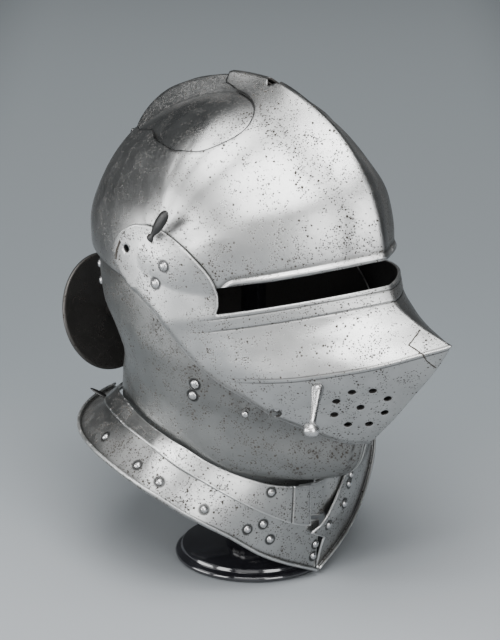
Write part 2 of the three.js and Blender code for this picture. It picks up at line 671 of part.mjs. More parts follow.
const pegFoot = onPlate(visor, visorPoint, PEG.level, PEG.angle);
const pegAlong = new THREE.Vector3(PEG.x, PEG.y, PEG.z).normalize();
const pegStart = pegFoot.p.clone().addScaledVector(pegAlong, -5);
const footing = rod(16, pegFoot.p.clone().addScaledVector(pegFoot.out, -20),
  pegFoot.p.clone().addScaledVector(pegFoot.out, PEG.gap), 12);
add('lifting_peg', cutAway(turned(PEG_PROFILE, 8, pegStart, pegAlong), [footing]));

[['right', -1], ['left', 1]].forEach(([side, sign]) => {
  // A leaf-headed pin that lifts out, standing at the top of the arm.
  const foot = new THREE.Vector3(sign * PIN.x, PIN.y, PIN.z);
  const along = new THREE.Vector3(0, PIN_LEAN[side].y, PIN_LEAN[side].z).normalize();
  add(`hinge_pin_${side}`, turned(PIN_PROFILE, 8, foot, along, PIN.thin));
  add(`pivot_${side}`, rod(PIVOT.radius, new THREE.Vector3(sign * PIVOT.inner, PIVOT.y, PIVOT.z),
    new THREE.Vector3(sign * PIVOT.outer, PIVOT.y, PIVOT.z), 8));
});

// Cheek plates meet at the chin; a narrow plate behind closes the nape under them.
const NECK_ROWS = [76, 90, 99, 109, 121, 134, 147, 160, 174, 188, 203];
const cheekInside = insideOutline(CHEEK_OUTLINE);
const cheek = plate({
  rows: NECK_ROWS,
  cols: [0.7, 9, 18, 27, 36, 45, 54, 63, 72, 82, 94, 108, 122, 136, 144, CHEEK_END],
  face: neckPoint,
  thickness: CHEEK_THICKNESS,
  keep: [(p) => cheekInside(leanY(p), leanHeight(p)), (p) => -p.x - CHIN_GAP],
  centre: new THREE.Vector3(0, 0, 140),
});
const cheekRight = add('cheek_plate_right', cheek);
const cheekLeft = add('cheek_plate_left', mirrored(cheek));
const napeFace = (level, angle) => neckPoint(level, angle, CHEEK_THICKNESS + TUCK_GAP);
const nape = add('nape_plate', plate({
  rows: NECK_ROWS,
  cols: steps(NAPE_START, 360 - NAPE_START, 9),
  face: napeFace,
  thickness: CHEEK_THICKNESS,
  centre: new THREE.Vector3(0, 0, 140),
}));

// Gorget: two lames a side. The left ones reach across the middle, the upper from inside, the lower from
// outside.
const underlap = GORGET_THICKNESS + TUCK_GAP;
const LAME_COLS = [14, 20, 26, 34, 42, 51, 60, 70, 80, 90, 101, 112, 124, 136, 149, 162, 175];
const leftCols = (first) => [...first, ...LAME_COLS.map((angle) => -angle)];
const lame = (rows, cols, face, keep = []) => plate({
  rows,
  cols,
  face,
  thickness: GORGET_THICKNESS,
  keep,
  centre: new THREE.Vector3(0, 0, 40),
});
const settle = (t) => 1 - Math.max(0, Math.min(1, t));
const upperFace = (t, angle) => gorgetPoint(t, angle);
const upperFaceLeft = (t, angle) => gorgetPoint(t, angle, -underlap * smoothStep(-14, -4, angle));
const lowerFace = (t, angle) => gorgetPoint(t < 0 ? t * tucked(Math.abs(angle)) : t, angle, -underlap * settle(t));
const lowerFaceLeft = (t, angle) => (
  gorgetPoint(t < 0 ? t * lapped(Math.abs(angle)) : t, angle, underlap * settle(t)));
const inLap = insideOutline(LAP_OUTLINE);
const UPPER_ROWS = [-1, -0.5, 0];
const RIM_ROWS = [1 + RIM_TURN / 3, 1 + RIM_TURN * 2 / 3, 1 + RIM_TURN];
const LOWER_ROWS = [-1, 0, 0.5, 1, ...RIM_ROWS];

const upperRight = add('gorget_upper_right', lame(UPPER_ROWS, [7.5, ...LAME_COLS], upperFace));
add('gorget_upper_left', lame(UPPER_ROWS, leftCols([13, 7, 0, -5, -9]), upperFaceLeft,
  [(p, t, angle) => -FLANGE_CUT - t + Math.max(0, -3 - angle) * 0.1]));
const lowerRight = add('gorget_lower_right', lame(LOWER_ROWS, [0.6, 7, ...LAME_COLS], lowerFace));
const lowerLeft = add('gorget_lower_left', lame(LOWER_ROWS, leftCols([10, 5, 0, -5, -9]), lowerFaceLeft,
  [(p) => (p.y > 0 ? 1 : inLap(p.x, p.z))]));

// Rondel on its stem behind the nape.
const rondelBack = new THREE.Vector3(0, Math.cos(RONDEL.tilt * DEG), -Math.sin(RONDEL.tilt * DEG));
const rondelCentre = new THREE.Vector3(0, RONDEL.y, RONDEL.z);
const rim = RONDEL.radius;
add('rondel', turned([[0, 0], [rim * 0.5, -0.6], [rim - 2, -2.4], [rim, -2], [rim, 0.2], [rim - 2, 0.4],
  [rim * 0.5, 1.4], [0, 1.8]], 20, rondelCentre, rondelBack), darkSteel());
const stemEnd = rondelCentre.clone().addScaledVector(rondelBack, -3);
const stemRay = new THREE.Raycaster(stemEnd, rondelBack.clone().negate());
const stemLength = stemRay.intersectObject(nape)[0].distance - RONDEL.stem * Math.tan(RONDEL.tilt * DEG) - 0.5;
const stemStart = stemEnd.clone().addScaledVector(rondelBack, -stemLength);
add('rondel_stem', rod(RONDEL.stem, stemStart, stemEnd, 8), darkSteel());

// Rivets, each in its own place on a plate.
const mirroredFace = (face) => (a, angle) => face(a, -angle);
ARM_RIVETS.forEach(({ level, angle }, i) => {
  rivet(`arm_rivet_right_${i + 1}`, visor, visorPoint, level, angle);
  rivet(`arm_rivet_left_${i + 1}`, visor, mirroredFace(visorPoint), level, angle);
});
CHEEK_RIVETS.forEach(({ level, angle }, i) => {
  rivet(`cheek_rivet_right_${i + 1}`, cheekRight, neckPoint, level, angle);
  rivet(`cheek_rivet_left_${i + 1}`, cheekLeft, mirroredFace(neckPoint), level, angle);
});
[...SIDE_RIVETS, ...RIGHT_RIVETS].forEach(({ t, angle }, i) => {
  rivet(`gorget_rivet_right_${i + 1}`, lowerRight, lowerFace, t, angle, LAME_RIVET_RADIUS);
});
[...SIDE_RIVETS, ...LEFT_RIVETS].forEach(({ t, angle }, i) => {
  rivet(`gorget_rivet_left_${i + 1}`, lowerLeft, lowerFaceLeft, t, -angle, LAME_RIVET_RADIUS);
});

rivet('gorget_rivet_top', upperRight, upperFace, UPPER_RIVET.t, UPPER_RIVET.angle, LAME_RIVET_RADIUS);

// The spring catch under its hole in the visor, pressed in so that the visor is free.
const catchHole = onPlate(visor, visorPoint, CATCH.level + CATCH.hole * 1.5, CATCH.angle);
const catchCentre = visorPoint(CATCH.level, CATCH.angle);
const catchRay = new THREE.Raycaster(catchCentre, catchHole.out.clone().negate());
const catchDepth = catchRay.intersectObject(cheekRight)[0].distance;
const catchFoot = catchCentre.clone().addScaledVector(catchHole.out, CATCH.gap - catchDepth);
const catchLength = catchDepth - CATCH.gap - VISOR_THICKNESS - CATCH.gap;
add('catch_stud', turned([[0, 0], [CATCH.radius, 0], [CATCH.radius, catchLength - 0.5], [0, catchLength]], 8,
  catchFoot, catchHole.out));

// A plain stud on the right cheek, close under the visor's edge.
const studFoot = onPlate(cheekRight, neckPoint, CHEEK_STUD.level, CHEEK_STUD.angle);
add('cheek_stud', turned([[0, 0], [CHEEK_STUD.radius, 0], [CHEEK_STUD.radius, CHEEK_STUD.length - 1],
  [CHEEK_STUD.radius * 0.6, CHEEK_STUD.length], [0, CHEEK_STUD.length]], 8,
  studFoot.p.addScaledVector(studFoot.out, RIVET.gap), studFoot.out));

// Stand: a round foot and a post that ends in a pad under the crown.
const r = BASE.radius;
const h = BASE.thickness;
add('stand_base', turned([[0, 0], [r - 3, 0], [r - 0.8, 1], [r, 2.6], [r - 0.8, 4.2], [r - 3, 5.2], [r - 4.5, h],
  [0, h]], 32), blackGloss());
const postStart = h + 0.3;
add('stand_post', turned([[0, 0], [POST.hub, 0], [POST.hub, POST.hubTop], [POST.radius, POST.hubTop + 12],
  [POST.radius, POST.top - postStart - 6], [POST.padRadius, POST.top - postStart - 4],
  [POST.padRadius, POST.top - postStart], [0, POST.top - postStart]], 12, new THREE.Vector3(0, 0, postStart)),
  blackGloss());

export default armet;
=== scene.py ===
import math
import bpy
import numpy as np
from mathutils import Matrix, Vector
from mathutils.bvhtree import BVHTree
from mathutils.kdtree import KDTree


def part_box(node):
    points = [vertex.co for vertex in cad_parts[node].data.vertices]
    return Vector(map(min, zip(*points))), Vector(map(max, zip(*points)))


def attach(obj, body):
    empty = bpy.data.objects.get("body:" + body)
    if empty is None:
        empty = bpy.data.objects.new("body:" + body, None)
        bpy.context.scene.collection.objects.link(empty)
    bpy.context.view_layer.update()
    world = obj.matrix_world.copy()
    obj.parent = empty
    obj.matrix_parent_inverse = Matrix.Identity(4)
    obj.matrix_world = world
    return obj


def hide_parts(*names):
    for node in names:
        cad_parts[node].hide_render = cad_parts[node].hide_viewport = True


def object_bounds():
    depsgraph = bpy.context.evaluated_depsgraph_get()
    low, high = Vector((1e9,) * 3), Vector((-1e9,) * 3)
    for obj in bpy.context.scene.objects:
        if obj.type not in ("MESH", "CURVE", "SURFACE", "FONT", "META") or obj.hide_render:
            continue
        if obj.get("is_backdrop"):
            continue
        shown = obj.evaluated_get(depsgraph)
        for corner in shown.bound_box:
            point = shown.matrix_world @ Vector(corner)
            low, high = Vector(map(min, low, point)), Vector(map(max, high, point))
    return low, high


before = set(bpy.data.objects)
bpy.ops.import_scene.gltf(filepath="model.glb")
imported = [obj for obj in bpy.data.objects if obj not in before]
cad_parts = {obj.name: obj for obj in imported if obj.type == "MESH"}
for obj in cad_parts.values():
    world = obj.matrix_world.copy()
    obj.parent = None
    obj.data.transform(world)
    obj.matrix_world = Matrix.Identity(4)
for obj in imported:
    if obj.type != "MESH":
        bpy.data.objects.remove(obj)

cad_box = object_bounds()
MM = 0.001
HELMET = "helmet"
VISOR_BODY = "visor"

# Measurements, in millimetres.
EAR_Y, EAR_Z = 3.0, 225.0
SKULL_HALF_WIDTH = 87.0
SKULL_THICKNESS = 1.7
COMB_CREST, COMB_HOLLOW = 0.7, 1.2
LEAN = math.radians(13.0)
SIGHT_TOP, SIGHT_BOTTOM, CREASE = 196.5, 181.0, 142.5
SIGHT_LINE, SIGHT_STEP, CHIN_LINE = 178.0, 170.6, 7.5
PLATE_LIFT = 2.4
PLATE_THICKNESS = 1.5
LIP_HEIGHT, LIP_FLARE, LIP_END = 4.5, 1.8, -50.0
VISOR_THICKNESS = 1.8
CHEEK_THICKNESS = 1.6
LAME_THICKNESS = 1.5
ARM_STAND_OFF = 1.2
TUCK_GAP = 0.8
REAR_PART, REAR_EDGE, REAR_EDGE_RISE = 18.0, 203.5, 0.12


def rows(names, lines):
    """A table of measurements: one named column for each word of names."""
    grid = np.array(lines, float)
    return dict(zip(names.split(), grid.T))


SKULL = rows("at radius comb foot power", [
    (-20, 108.6, 1.6, 14, 0.85), (0, 108.8, 1.6, 14, 0.85), (20, 107.6, 1.6, 15, 0.85),
    (40, 102.8, 2.5, 17, 0.93), (60, 97.2, 4.1, 17, 0.87), (75, 93.2, 7, 14, 0.68),
    (90, 90.3, 8.6, 9.5, 0.5), (105, 88.9, 11, 7, 0.52), (120, 91, 11.7, 6.4, 0.57),
    (134, 95.7, 12.3, 6.2, 0.57), (148, 101.3, 11, 6.2, 0.555), (165, 106.8, 6, 6.2, 0.52),
    (180, 111.9, 0.8, 6, 0.5), (205, 112.9, 0, 6, 0.5)])
VISOR = rows("at front half_width power corner", [
    (70, -108, 40, 0.8, 0), (78.3, -120, 42, 0.82, 0), (91.5, -139.7, 54, 0.86, 0),
    (101, -152.5, 63, 0.9, 0), (111, -165.2, 71, 0.93, 0), (127, -185.5, 78, 0.96, 0),
    (CREASE, -201.3, 82, 0.98, 1), (147.3, -192.7, 84, 0.96, 0), (158, -175, 87, 0.92, 0),
    (171.2, -161.3, 90, 0.88, 0), (181, -159.5, 92, 0.87, 0), (250, -157, 92, 0.87, 0)])
DROOP = rows("at drop", [(0, 0), (20, 2.2), (43, 6.6), (57, 7.2), (70, 4.6), (80, 0)])
DROOP_REACH = 28.0
VISOR_WIDEST, VISOR_REAR = -36.6, 110.0
NECK = rows("at dip half_width front rear power", [
    (76, 14, 78.2, -54, 91.5, 0.52), (90, 21.5, 77.4, -55, 91.5, 0.52), (98, 23, 76.8, -60, 91, 0.55),
    (108, 23, 75.8, -76, 90, 0.6), (122, 20, 76.4, -92, 91, 0.74), (134, 17.3, 78.4, -97, 95.2, 0.86),
    (146, 14.6, 80.6, -98.7, 100.3, 0.72), (165, 10, 84, -100, 108, 0.7),
    (190, 5, 84.8, -101, 110.5, 0.7), (214, 0, 80.5, -102, 111, 0.7)])
GORGET = rows("at top seam rim tucked lapped", [
    (0, 66, 37, 5, 0.1, 1.1), (14, 68.5, 43, 16, 0.1, 1.06), (26, 72, 52, 27, 0.3, 1.05),
    (42, 80, 66, 46, 0.4, 0.7), (60, 90.5, 81.5, 62.5, 0.5, 0.5), (75, 100, 91.5, 74, 0.5, 0.5),
    (90, 106, 100.5, 81, 0.5, 0.5), (105, 111.5, 106, 87, 0.5, 0.5), (120, 116, 108.5, 89.5, 0.5, 0.5),
    (135, 114, 106.5, 89.8, 0.5, 0.5), (150, 109.5, 102.5, 90, 0.5, 0.5),
    (180, 107, 100.5, 90.5, 0.5, 0.5)])
WIDEST = 4.0
TOP_RING = dict(widest=WIDEST, half_width=81, front=-60, rear=95, power=0.52)
SEAM_RING = dict(widest=WIDEST, half_width=90, front=-61, rear=103, power=0.52)
RIM_RING = dict(widest=WIDEST, half_width=105, front=-55, rear=119, power=0.55)
RIM_TURN, RIM_BEND = 0.12, 0.9

# Outlines: visor and cheek plates from the side in the leaning frame, the window from above and the lap
# from the front. A third value marks a corner.
VISOR_OUTLINE = [
    (-113, 82), (-104.5, 97), (-95.6, 109), (-86.9, 123.8), (-73.9, 136), (-67.7, 142), (-59, 154.7),
    (-51.6, 169), (-44, 182), (-30.6, 196), (-18.5, 209.8), (-14.5, 217), (-13.7, 224), (-16.8, 231),
    (-26.5, 238), (-41.4, 241.8), (-57.2, 237.7), (-72.4, 227), (-81.2, 216.2), (-86.6, 205.9), (-88, 198),
    (-87.2, 186), (-85, SIGHT_BOTTOM, 1), (-230, SIGHT_BOTTOM, 1), (-230, 70, 1), (-122, 77, 1)]
WINDOW_OUTLINE = [
    (0, 19), (-4.5, 19.5), (-6, 21, 1), (-7.5, 14), (-11.8, 1.6), (-16.9, -13.4), (-23.4, -21.6),
    (-33, -25), (-42.6, -22.2), (-55.7, -13), (-62.8, -3.2), (-64.5, 7), (-61.3, 18), (-54, 34),
    (-45.5, 44.8), (-39, 62), (-27, 77), (-16, 92), (-7, 104), (0, 108)]
CHEEK_OUTLINE = [
    (-170, 20, 1), (-170, 93, 1), (-121, 93, 1), (-112, 107), (-103, 119), (-95, 133), (-82, 145),
    (-70, 164), (-58, 178), (-50, 191), (-40, 206), (-28, 260, 1), (150, 260, 1), (150, -60, 1),
    (-170, -60, 1)]
LAP_OUTLINE = [
    (1, -20, 1), (1.3, 20), (2.7, 27, 1), (-11.7, 34.4, 1), (0, 41.3), (9.4, 49.6), (17.4, 58), (26, 66.5),
    (60, 100), (200, 160, 1), (200, -20, 1)]


# Smooth reading of the tables.
def smooth(start, end, value):
    t = np.clip((np.asarray(value, float) - start) / (end - start), 0, 1)
    return t * t * (3 - 2 * t)


def peak(value, at, width):
    """1 at one value, falling away on both sides of it."""
    return np.exp(-((value - at) / width) ** 2)


def reader(table, name):
    """A smooth curve through one column; a row marked corner keeps a sharp turn there."""
    x, y = table["at"], table[name]
    corner = table.get("corner", np.zeros(len(x)))
    step = np.diff(x)
    slope = np.diff(y) / step
    after, before = np.zeros(len(x)), np.zeros(len(x))
    for i in range(len(x)):
        if 0 < i < len(x) - 1 and slope[i - 1] * slope[i] > 0:
            wide, wider = step[i], step[i - 1]
            mid = (wide + wider) * 3 / ((2 * wide + wider) / slope[i - 1] + (wide + 2 * wider) / slope[i])
            after[i] = before[i] = mid
        if i == 0 or (corner[i] and i < len(x) - 1):
            after[i] = slope[i]
        if i == len(x) - 1 or (corner[i] and i > 0):
            before[i] = slope[i - 1]

    def read(at):
        at = np.asarray(at, float)
        i = np.clip(np.searchsorted(x, at, "right") - 1, 0, len(x) - 2)
        t = np.clip((at - x[i]) / step[i], 0, 1)
        k = 1 - t
        return (y[i] * k * k * (1 + 2 * t) + y[i + 1] * t * t * (3 - 2 * t)
                + step[i] * (after[i] * t * k * k - before[i + 1] * t * t * k))
    return read


def readers(table):
    return {name: reader(table, name) for name in table if name not in ("at", "corner")}


skull_of, visor_of, neck_of, gorget_of = readers(SKULL), readers(VISOR), readers(NECK), readers(GORGET)
droop_of = reader(DROOP, "drop")


def stack(x, y, z):
    return np.stack(np.broadcast_arrays(x, y, z), -1)


def lean_y(p):
    return p[..., 1] * math.cos(LEAN) - p[..., 2] * math.sin(LEAN)


def lean_height(p):
    return p[..., 1] * math.sin(LEAN) + p[..., 2] * math.cos(LEAN)


def upright(x, y, h):
    """From the leaning frame to the standing one."""
    return stack(x, y * math.cos(LEAN) + h * math.sin(LEAN), h * math.cos(LEAN) - y * math.sin(LEAN))


def unit(v):
    return v / np.maximum(np.linalg.norm(v, axis=-1, keepdims=True), 1e-9)


# Faces of the plates.
def hammer(p, amount):
    """The faint waves that hammering leaves in a forged plate, as a height at each place."""
    x, y, z = p[..., 0], p[..., 1], p[..., 2]
    wave = (np.sin(x * 0.11 + 1.3 * np.sin(y * 0.067 + 0.4)) * np.sin(z * 0.093 + 0.8 * np.sin(x * 0.051))
            + 0.6 * np.sin(y * 0.17 + z * 0.06 + 2.1) * np.sin(z * 0.15 - x * 0.08 + 0.7)
            + 0.35 * np.sin(x * 0.31 + z * 0.23) * np.sin(y * 0.27 - z * 0.19 + 1.9))
    return amount * wave


def skull_point(turn, across, lift=0.0):
    half_width = SKULL_HALF_WIDTH + lift
    x = half_width * np.sin(across * np.pi / 2)
    fall = 1 - np.abs(x / half_width) ** (1 / skull_of["power"](turn))
    climb = 1 - np.clip((np.abs(x) - COMB_CREST - lift * 0.6) / (skull_of["foot"](turn) - COMB_CREST), 0, 1)
    comb = skull_of["comb"](turn) * climb ** COMB_HOLLOW
    r = (skull_of["radius"](turn) + lift) * np.sqrt(np.maximum(0, fall)) + comb
    angle = np.radians(turn)
    return stack(x, EAR_Y - r * np.cos(angle), EAR_Z + r * np.sin(angle))


def turn_of(y, z):
    """How far round the skull a place lies, in degrees: 0 in front, 90 on top and 180 behind."""
    turn = np.degrees(np.arctan2(z - EAR_Z, EAR_Y - y))
    return np.where(turn < -90, turn + 360, turn)


def skull_reach(y, z, lift):
    """The skull's half width at a place seen from the side."""
    turn = turn_of(y, z)
    fall = 1 - (np.hypot(y - EAR_Y, z - EAR_Z) / (skull_of["radius"](turn) + lift)) ** 2
    return np.where(fall > 0, (SKULL_HALF_WIDTH + lift) * np.maximum(fall, 0) ** skull_of["power"](turn), 0)


def brow_point(turn, across):
    p = skull_point(turn, across, PLATE_LIFT)
    above = np.where(p[..., 1] > REAR_PART, LIP_HEIGHT, lean_height(p) - SIGHT_TOP)
    out = unit(stack(p[..., 0], p[..., 1] - EAR_Y, 0 * p[..., 0]))
    flare = LIP_FLARE * (1 - smooth(-72, LIP_END, p[..., 1])) * smooth(0, LIP_HEIGHT, LIP_HEIGHT - above)
    return p + out * flare[..., None]


def oval(ring, angle):
    c, s = np.cos(np.radians(angle)), np.sin(np.radians(angle))
    side = np.abs(s) ** (2 * np.where(c > 0, ring["power"], 0.5))
    reach = np.where(c > 0, ring["widest"] - ring["front"], ring["rear"] - ring["widest"])
    return -np.sign(s) * ring["half_width"] * side, ring["widest"] - reach * c


def groove(level, at, depth, width):
    return -depth * peak(level, at, width)


def visor_point(level, angle):
    level, angle = np.broadcast_arrays(np.asarray(level, float), np.asarray(angle, float))
    half_width, front, power = (visor_of[name](level) for name in ("half_width", "front", "power"))
    x, y = oval(dict(widest=VISOR_WIDEST, half_width=half_width, front=front,
                     rear=VISOR_WIDEST + VISOR_REAR, power=power), angle)
    fade = np.maximum(0, 1 - np.abs(level - CREASE) / DROOP_REACH)
    p = upright(x, y, level - droop_of(np.abs(angle)) * fade)
    arm = skull_reach(p[..., 1], p[..., 2], PLATE_LIFT) + ARM_STAND_OFF + VISOR_THICKNESS
    wide = np.where(level > SIGHT_BOTTOM - 30, np.maximum(np.abs(p[..., 0]), arm), np.abs(p[..., 0]))
    p[..., 0] = np.sign(x) * np.where(np.abs(x) > 30, wide, np.abs(x))
    return p


def neck_point(level, angle, inset=0.0):
    ring = dict(widest=WIDEST, half_width=neck_of["half_width"](level) - inset,
                front=neck_of["front"](level) + inset, rear=neck_of["rear"](level) - inset,
                power=neck_of["power"](level))
    x, y = oval(ring, angle)
    return stack(x, y, level + y * np.tan(np.radians(neck_of["dip"](level))))


def on_cone(start, end, z_start, z_end, t, angle):
    ax, ay = oval(start, angle)
    bx, by = oval(end, angle)
    p = stack(ax + (bx - ax) * t, ay + (by - ay) * t, z_start * (1 - t) + z_end * t)
    down = unit(stack(bx - ax, by - ay, z_end - z_start))
    out = unit(stack(p[..., 0], p[..., 1], 0 * p[..., 0]))
    out = unit(out - down * np.sum(out * down, -1, keepdims=True))
    return p, down, out


def gorget_point(t, angle, lift=0.0):
    t, angle = np.broadcast_arrays(np.asarray(t, float), np.asarray(angle, float))
    around = np.abs(angle)
    top, seam, rim = (gorget_of[name](around) for name in ("top", "seam", "rim"))
    upper, _, upper_out = on_cone(TOP_RING, SEAM_RING, top, seam, np.minimum(t, 0) + 1, angle)
    lower, down, lower_out = on_cone(SEAM_RING, RIM_RING, seam, rim, np.clip(t, 0, 1), angle)
    mix = smooth(-0.3, 0.3, t)[..., None]
    out = unit(upper_out * (1 - mix) + lower_out * mix)
    p = np.where((t < 0)[..., None], upper, lower) + out * np.asarray(lift)[..., None]
    bend = np.maximum(0, t - 1) * np.pi / RIM_TURN
    p = p + lower_out * (RIM_BEND * (1 - np.cos(bend)))[..., None]
    return p + down * (RIM_BEND * np.sin(bend))[..., None]


# Outlines and their distances.
def flowing(points):
    """A closed outline drawn as a smooth curve, sharp only at the points marked as corners."""
    place = np.array([p[:2] for p in points], float)
    sharp = [len(p) > 2 for p in points]
    count = len(points)
    drawn = []
    for i in range(count):
        j = (i + 1) % count
        a, b = place[i], place[j]
        leave = (b - a) if sharp[i] else (b - place[i - 1]) * np.linalg.norm(b - a) / (
            np.linalg.norm(b - a) + np.linalg.norm(a - place[i - 1]))
        after = place[(j + 1) % count]
        arrive = (b - a) if sharp[j] else (after - a) * np.linalg.norm(b - a) / (
            np.linalg.norm(b - a) + np.linalg.norm(after - b))
        pieces = 1 if sharp[i] and sharp[j] else 6
        for t in np.arange(pieces) / pieces:
            k = 1 - t
            between_ends = a * k * k * (1 + 2 * t) + b * t * t * (3 - 2 * t)
            drawn.append(between_ends + leave * t * k * k - arrive * t * t * k)
    return drawn


def mirrored_outline(points):
    return points + [(-p[0], *p[1:]) for p in reversed(points) if p[0] != 0]


def inside_outline(points):
    """Signed distance to a closed outline, above 0 inside it."""
    a = np.array(flowing(points))
    b = np.roll(a, -1, axis=0)
    du, dv = (b - a).T
    level = np.where(dv == 0, 1e-9, dv)

    def read(u, v):
        shape = np.shape(u)
        u, v = np.ravel(u)[:, None], np.ravel(v)[:, None]
        t = np.clip(((u - a[:, 0]) * du + (v - a[:, 1]) * dv) / (du * du + dv * dv + 1e-12), 0, 1)
        away = np.hypot(u - a[:, 0] - t * du, v - a[:, 1] - t * dv).min(1)
        crossed = ((a[:, 1] > v) != (b[:, 1] > v)) & (u < a[:, 0] + (v - a[:, 1]) * du / level)
        return np.where(crossed.sum(1) % 2 == 1, away, -away).reshape(shape)
    return read


def hole(centre, axis, radius):
    """Signed distance to a round hole bored along an axis, below 0 inside it."""
    centre, axis = np.array(centre, float), unit(np.array(axis, float))

    def read(p):
        away = p - centre
        along = np.sum(away * axis, -1)
        round_it = np.linalg.norm(away - along[..., None] * axis, axis=-1) - radius
        return np.where(np.abs(along) < 12, round_it, 20)
    return read


def spread(curve, stops, spacing):
    """Values from the first stop to the last, through every stop, evenly apart along the curve."""
    values = []
    for low, high in zip(stops, stops[1:]):
        fine = np.linspace(low, high, 300)
        run = np.r_[0, np.cumsum(np.linalg.norm(np.diff(curve(fine), axis=0), axis=1))]
        count = max(1, round(run[-1] / spacing))
        values.append(np.interp(np.linspace(0, run[-1], count + 1)[:-1], run, fine))
    return np.r_[np.concatenate(values), stops[-1]]


# Plates as meshes.
SNAP = 0.36
RIM_SEGMENTS = 4
RIM_BULGE = 0.35
EDGE_REACH = 14.0


def trimmed_grid(face, a_values, b_values, keep):
    """Cuts a grid of quads along keep = 0: corners near the cut move onto it, other quads are clipped."""
    rows_count, cols_count = len(a_values), len(b_values)
    a, b = (g.ravel() for g in np.meshgrid(a_values, b_values, indexing="ij"))
    value = keep(face(a, b), a, b)
    ids = np.arange(rows_count * cols_count).reshape(rows_count, cols_count)
    edges = np.concatenate([np.stack([ids[:, :-1].ravel(), ids[:, 1:].ravel()], 1),
                            np.stack([ids[:-1].ravel(), ids[1:].ravel()], 1)])
    crossing = edges[(value[edges[:, 0]] >= 0) != (value[edges[:, 1]] >= 0)]
    swap = value[crossing[:, 0]] < 0
    crossing[swap] = crossing[swap][:, ::-1]
    inner, outer = crossing.T
    low, high = np.zeros(len(inner)), np.ones(len(inner))
    for _ in range(18):
        t = (low + high) / 2
        ta, tb = a[inner] + (a[outer] - a[inner]) * t, b[inner] + (b[outer] - b[inner]) * t
        within = keep(face(ta, tb), ta, tb) >= 0
        low, high = np.where(within, t, low), np.where(within, high, t)
    cut_a, cut_b = a[inner] + (a[outer] - a[inner]) * low, b[inner] + (b[outer] - b[inner]) * low

    state = np.where(value >= 0, 1, -1)
    away = np.concatenate([low, 1 - low])
    end = np.concatenate([inner, outer])
    for i in np.argsort(away):
        if away[i] > SNAP:
            break
        if state[end[i]] != 0:
            state[end[i]] = 0
            a[end[i]], b[end[i]] = cut_a[i % len(low)], cut_b[i % len(low)]
    fresh = {}
    more_a, more_b = [], []
    for k, (i, o) in enumerate(zip(inner.tolist(), outer.tolist())):
        if state[i] == 1 and state[o] == -1:
            fresh[i, o] = len(a) + len(more_a)
            more_a.append(cut_a[k])
            more_b.append(cut_b[k])
    a, b = np.r_[a, more_a], np.r_[b, more_b]

    corners = np.stack([ids[:-1, :-1], ids[:-1, 1:], ids[1:, 1:], ids[1:, :-1]], -1).reshape(-1, 4)
    kept = state[corners]
    whole = (kept >= 0).all(1) & (kept > 0).any(1)
    polygons = corners[whole].tolist()
    for quad, states in zip(corners[~whole].tolist(), kept[~whole].tolist()):
        if max(states) < 1:
            if sum(s == 0 for s in states) < 3:
                continue
            ring = [q for q, s in zip(quad, states) if s == 0]
            mid_a, mid_b = a[ring].mean(), b[ring].mean()
            if keep(face(mid_a, mid_b), mid_a, mid_b) > 0:
                polygons.append(ring)
            continue
        ring = []
        for n in range(4):
            here, after = quad[n], quad[(n + 1) % 4]
            if state[here] >= 0:
                ring.append(here)
            if state[here] * state[after] == -1:
                ring.append(fresh[(here, after) if state[here] == 1 else (after, here)])
        if len(ring) > 2:
            polygons.append(ring)
    return a, b, polygons


def weld(place, polygons):
    """Joins corners that lie on one spot, as at a pole, and drops the corners that nothing uses."""
    _, first, group = np.unique(np.round(place, 3), axis=0, return_index=True, return_inverse=True)
    group = first[group.ravel()]
    joined = []
    for ring in polygons:
        ring = [int(group[v]) for v in ring]
        ring = [v for n, v in enumerate(ring) if v != ring[n - 1]]
        if len(ring) > 2:
            joined.append(ring)
    used = sorted({v for ring in joined for v in ring})
    renumber = {v: n for n, v in enumerate(used)}
    return np.array(used), [[renumber[v] for v in ring] for ring in joined]


def corner_normals(place, polygons):
    """The outward direction at each corner, from the faces round it weighted by their areas."""
    normal = np.zeros_like(place)
    for sides in {len(ring) for ring in polygons}:
        rings = np.array([ring for ring in polygons if len(ring) == sides])
        p = place[rings]
        area = sum(np.cross(p[:, n] - p[:, 0], p[:, n + 1] - p[:, 0]) for n in range(1, sides - 1))
        for n in range(sides):
            np.add.at(normal, rings[:, n], area)
    return unit(normal)


def mesh_object(name, place, polygons, material, attributes=None):
    """A smooth shaded object of one mesh; places are given in millimetres."""
    mesh = bpy.data.meshes.new(name)
    mesh.from_pydata((np.asarray(place) * MM).tolist(), [], polygons)
    for key, values in (attributes or {}).items():
        mesh.attributes.new(key, "FLOAT", "POINT").data.foreach_set("value", np.asarray(values, np.float32))
    mesh.materials.append(material)
    mesh.polygons.foreach_set("use_smooth", [True] * len(mesh.polygons))
    mesh.update()
    piece = bpy.data.objects.new(name, mesh)
    bpy.context.scene.collection.objects.link(piece)
    return piece


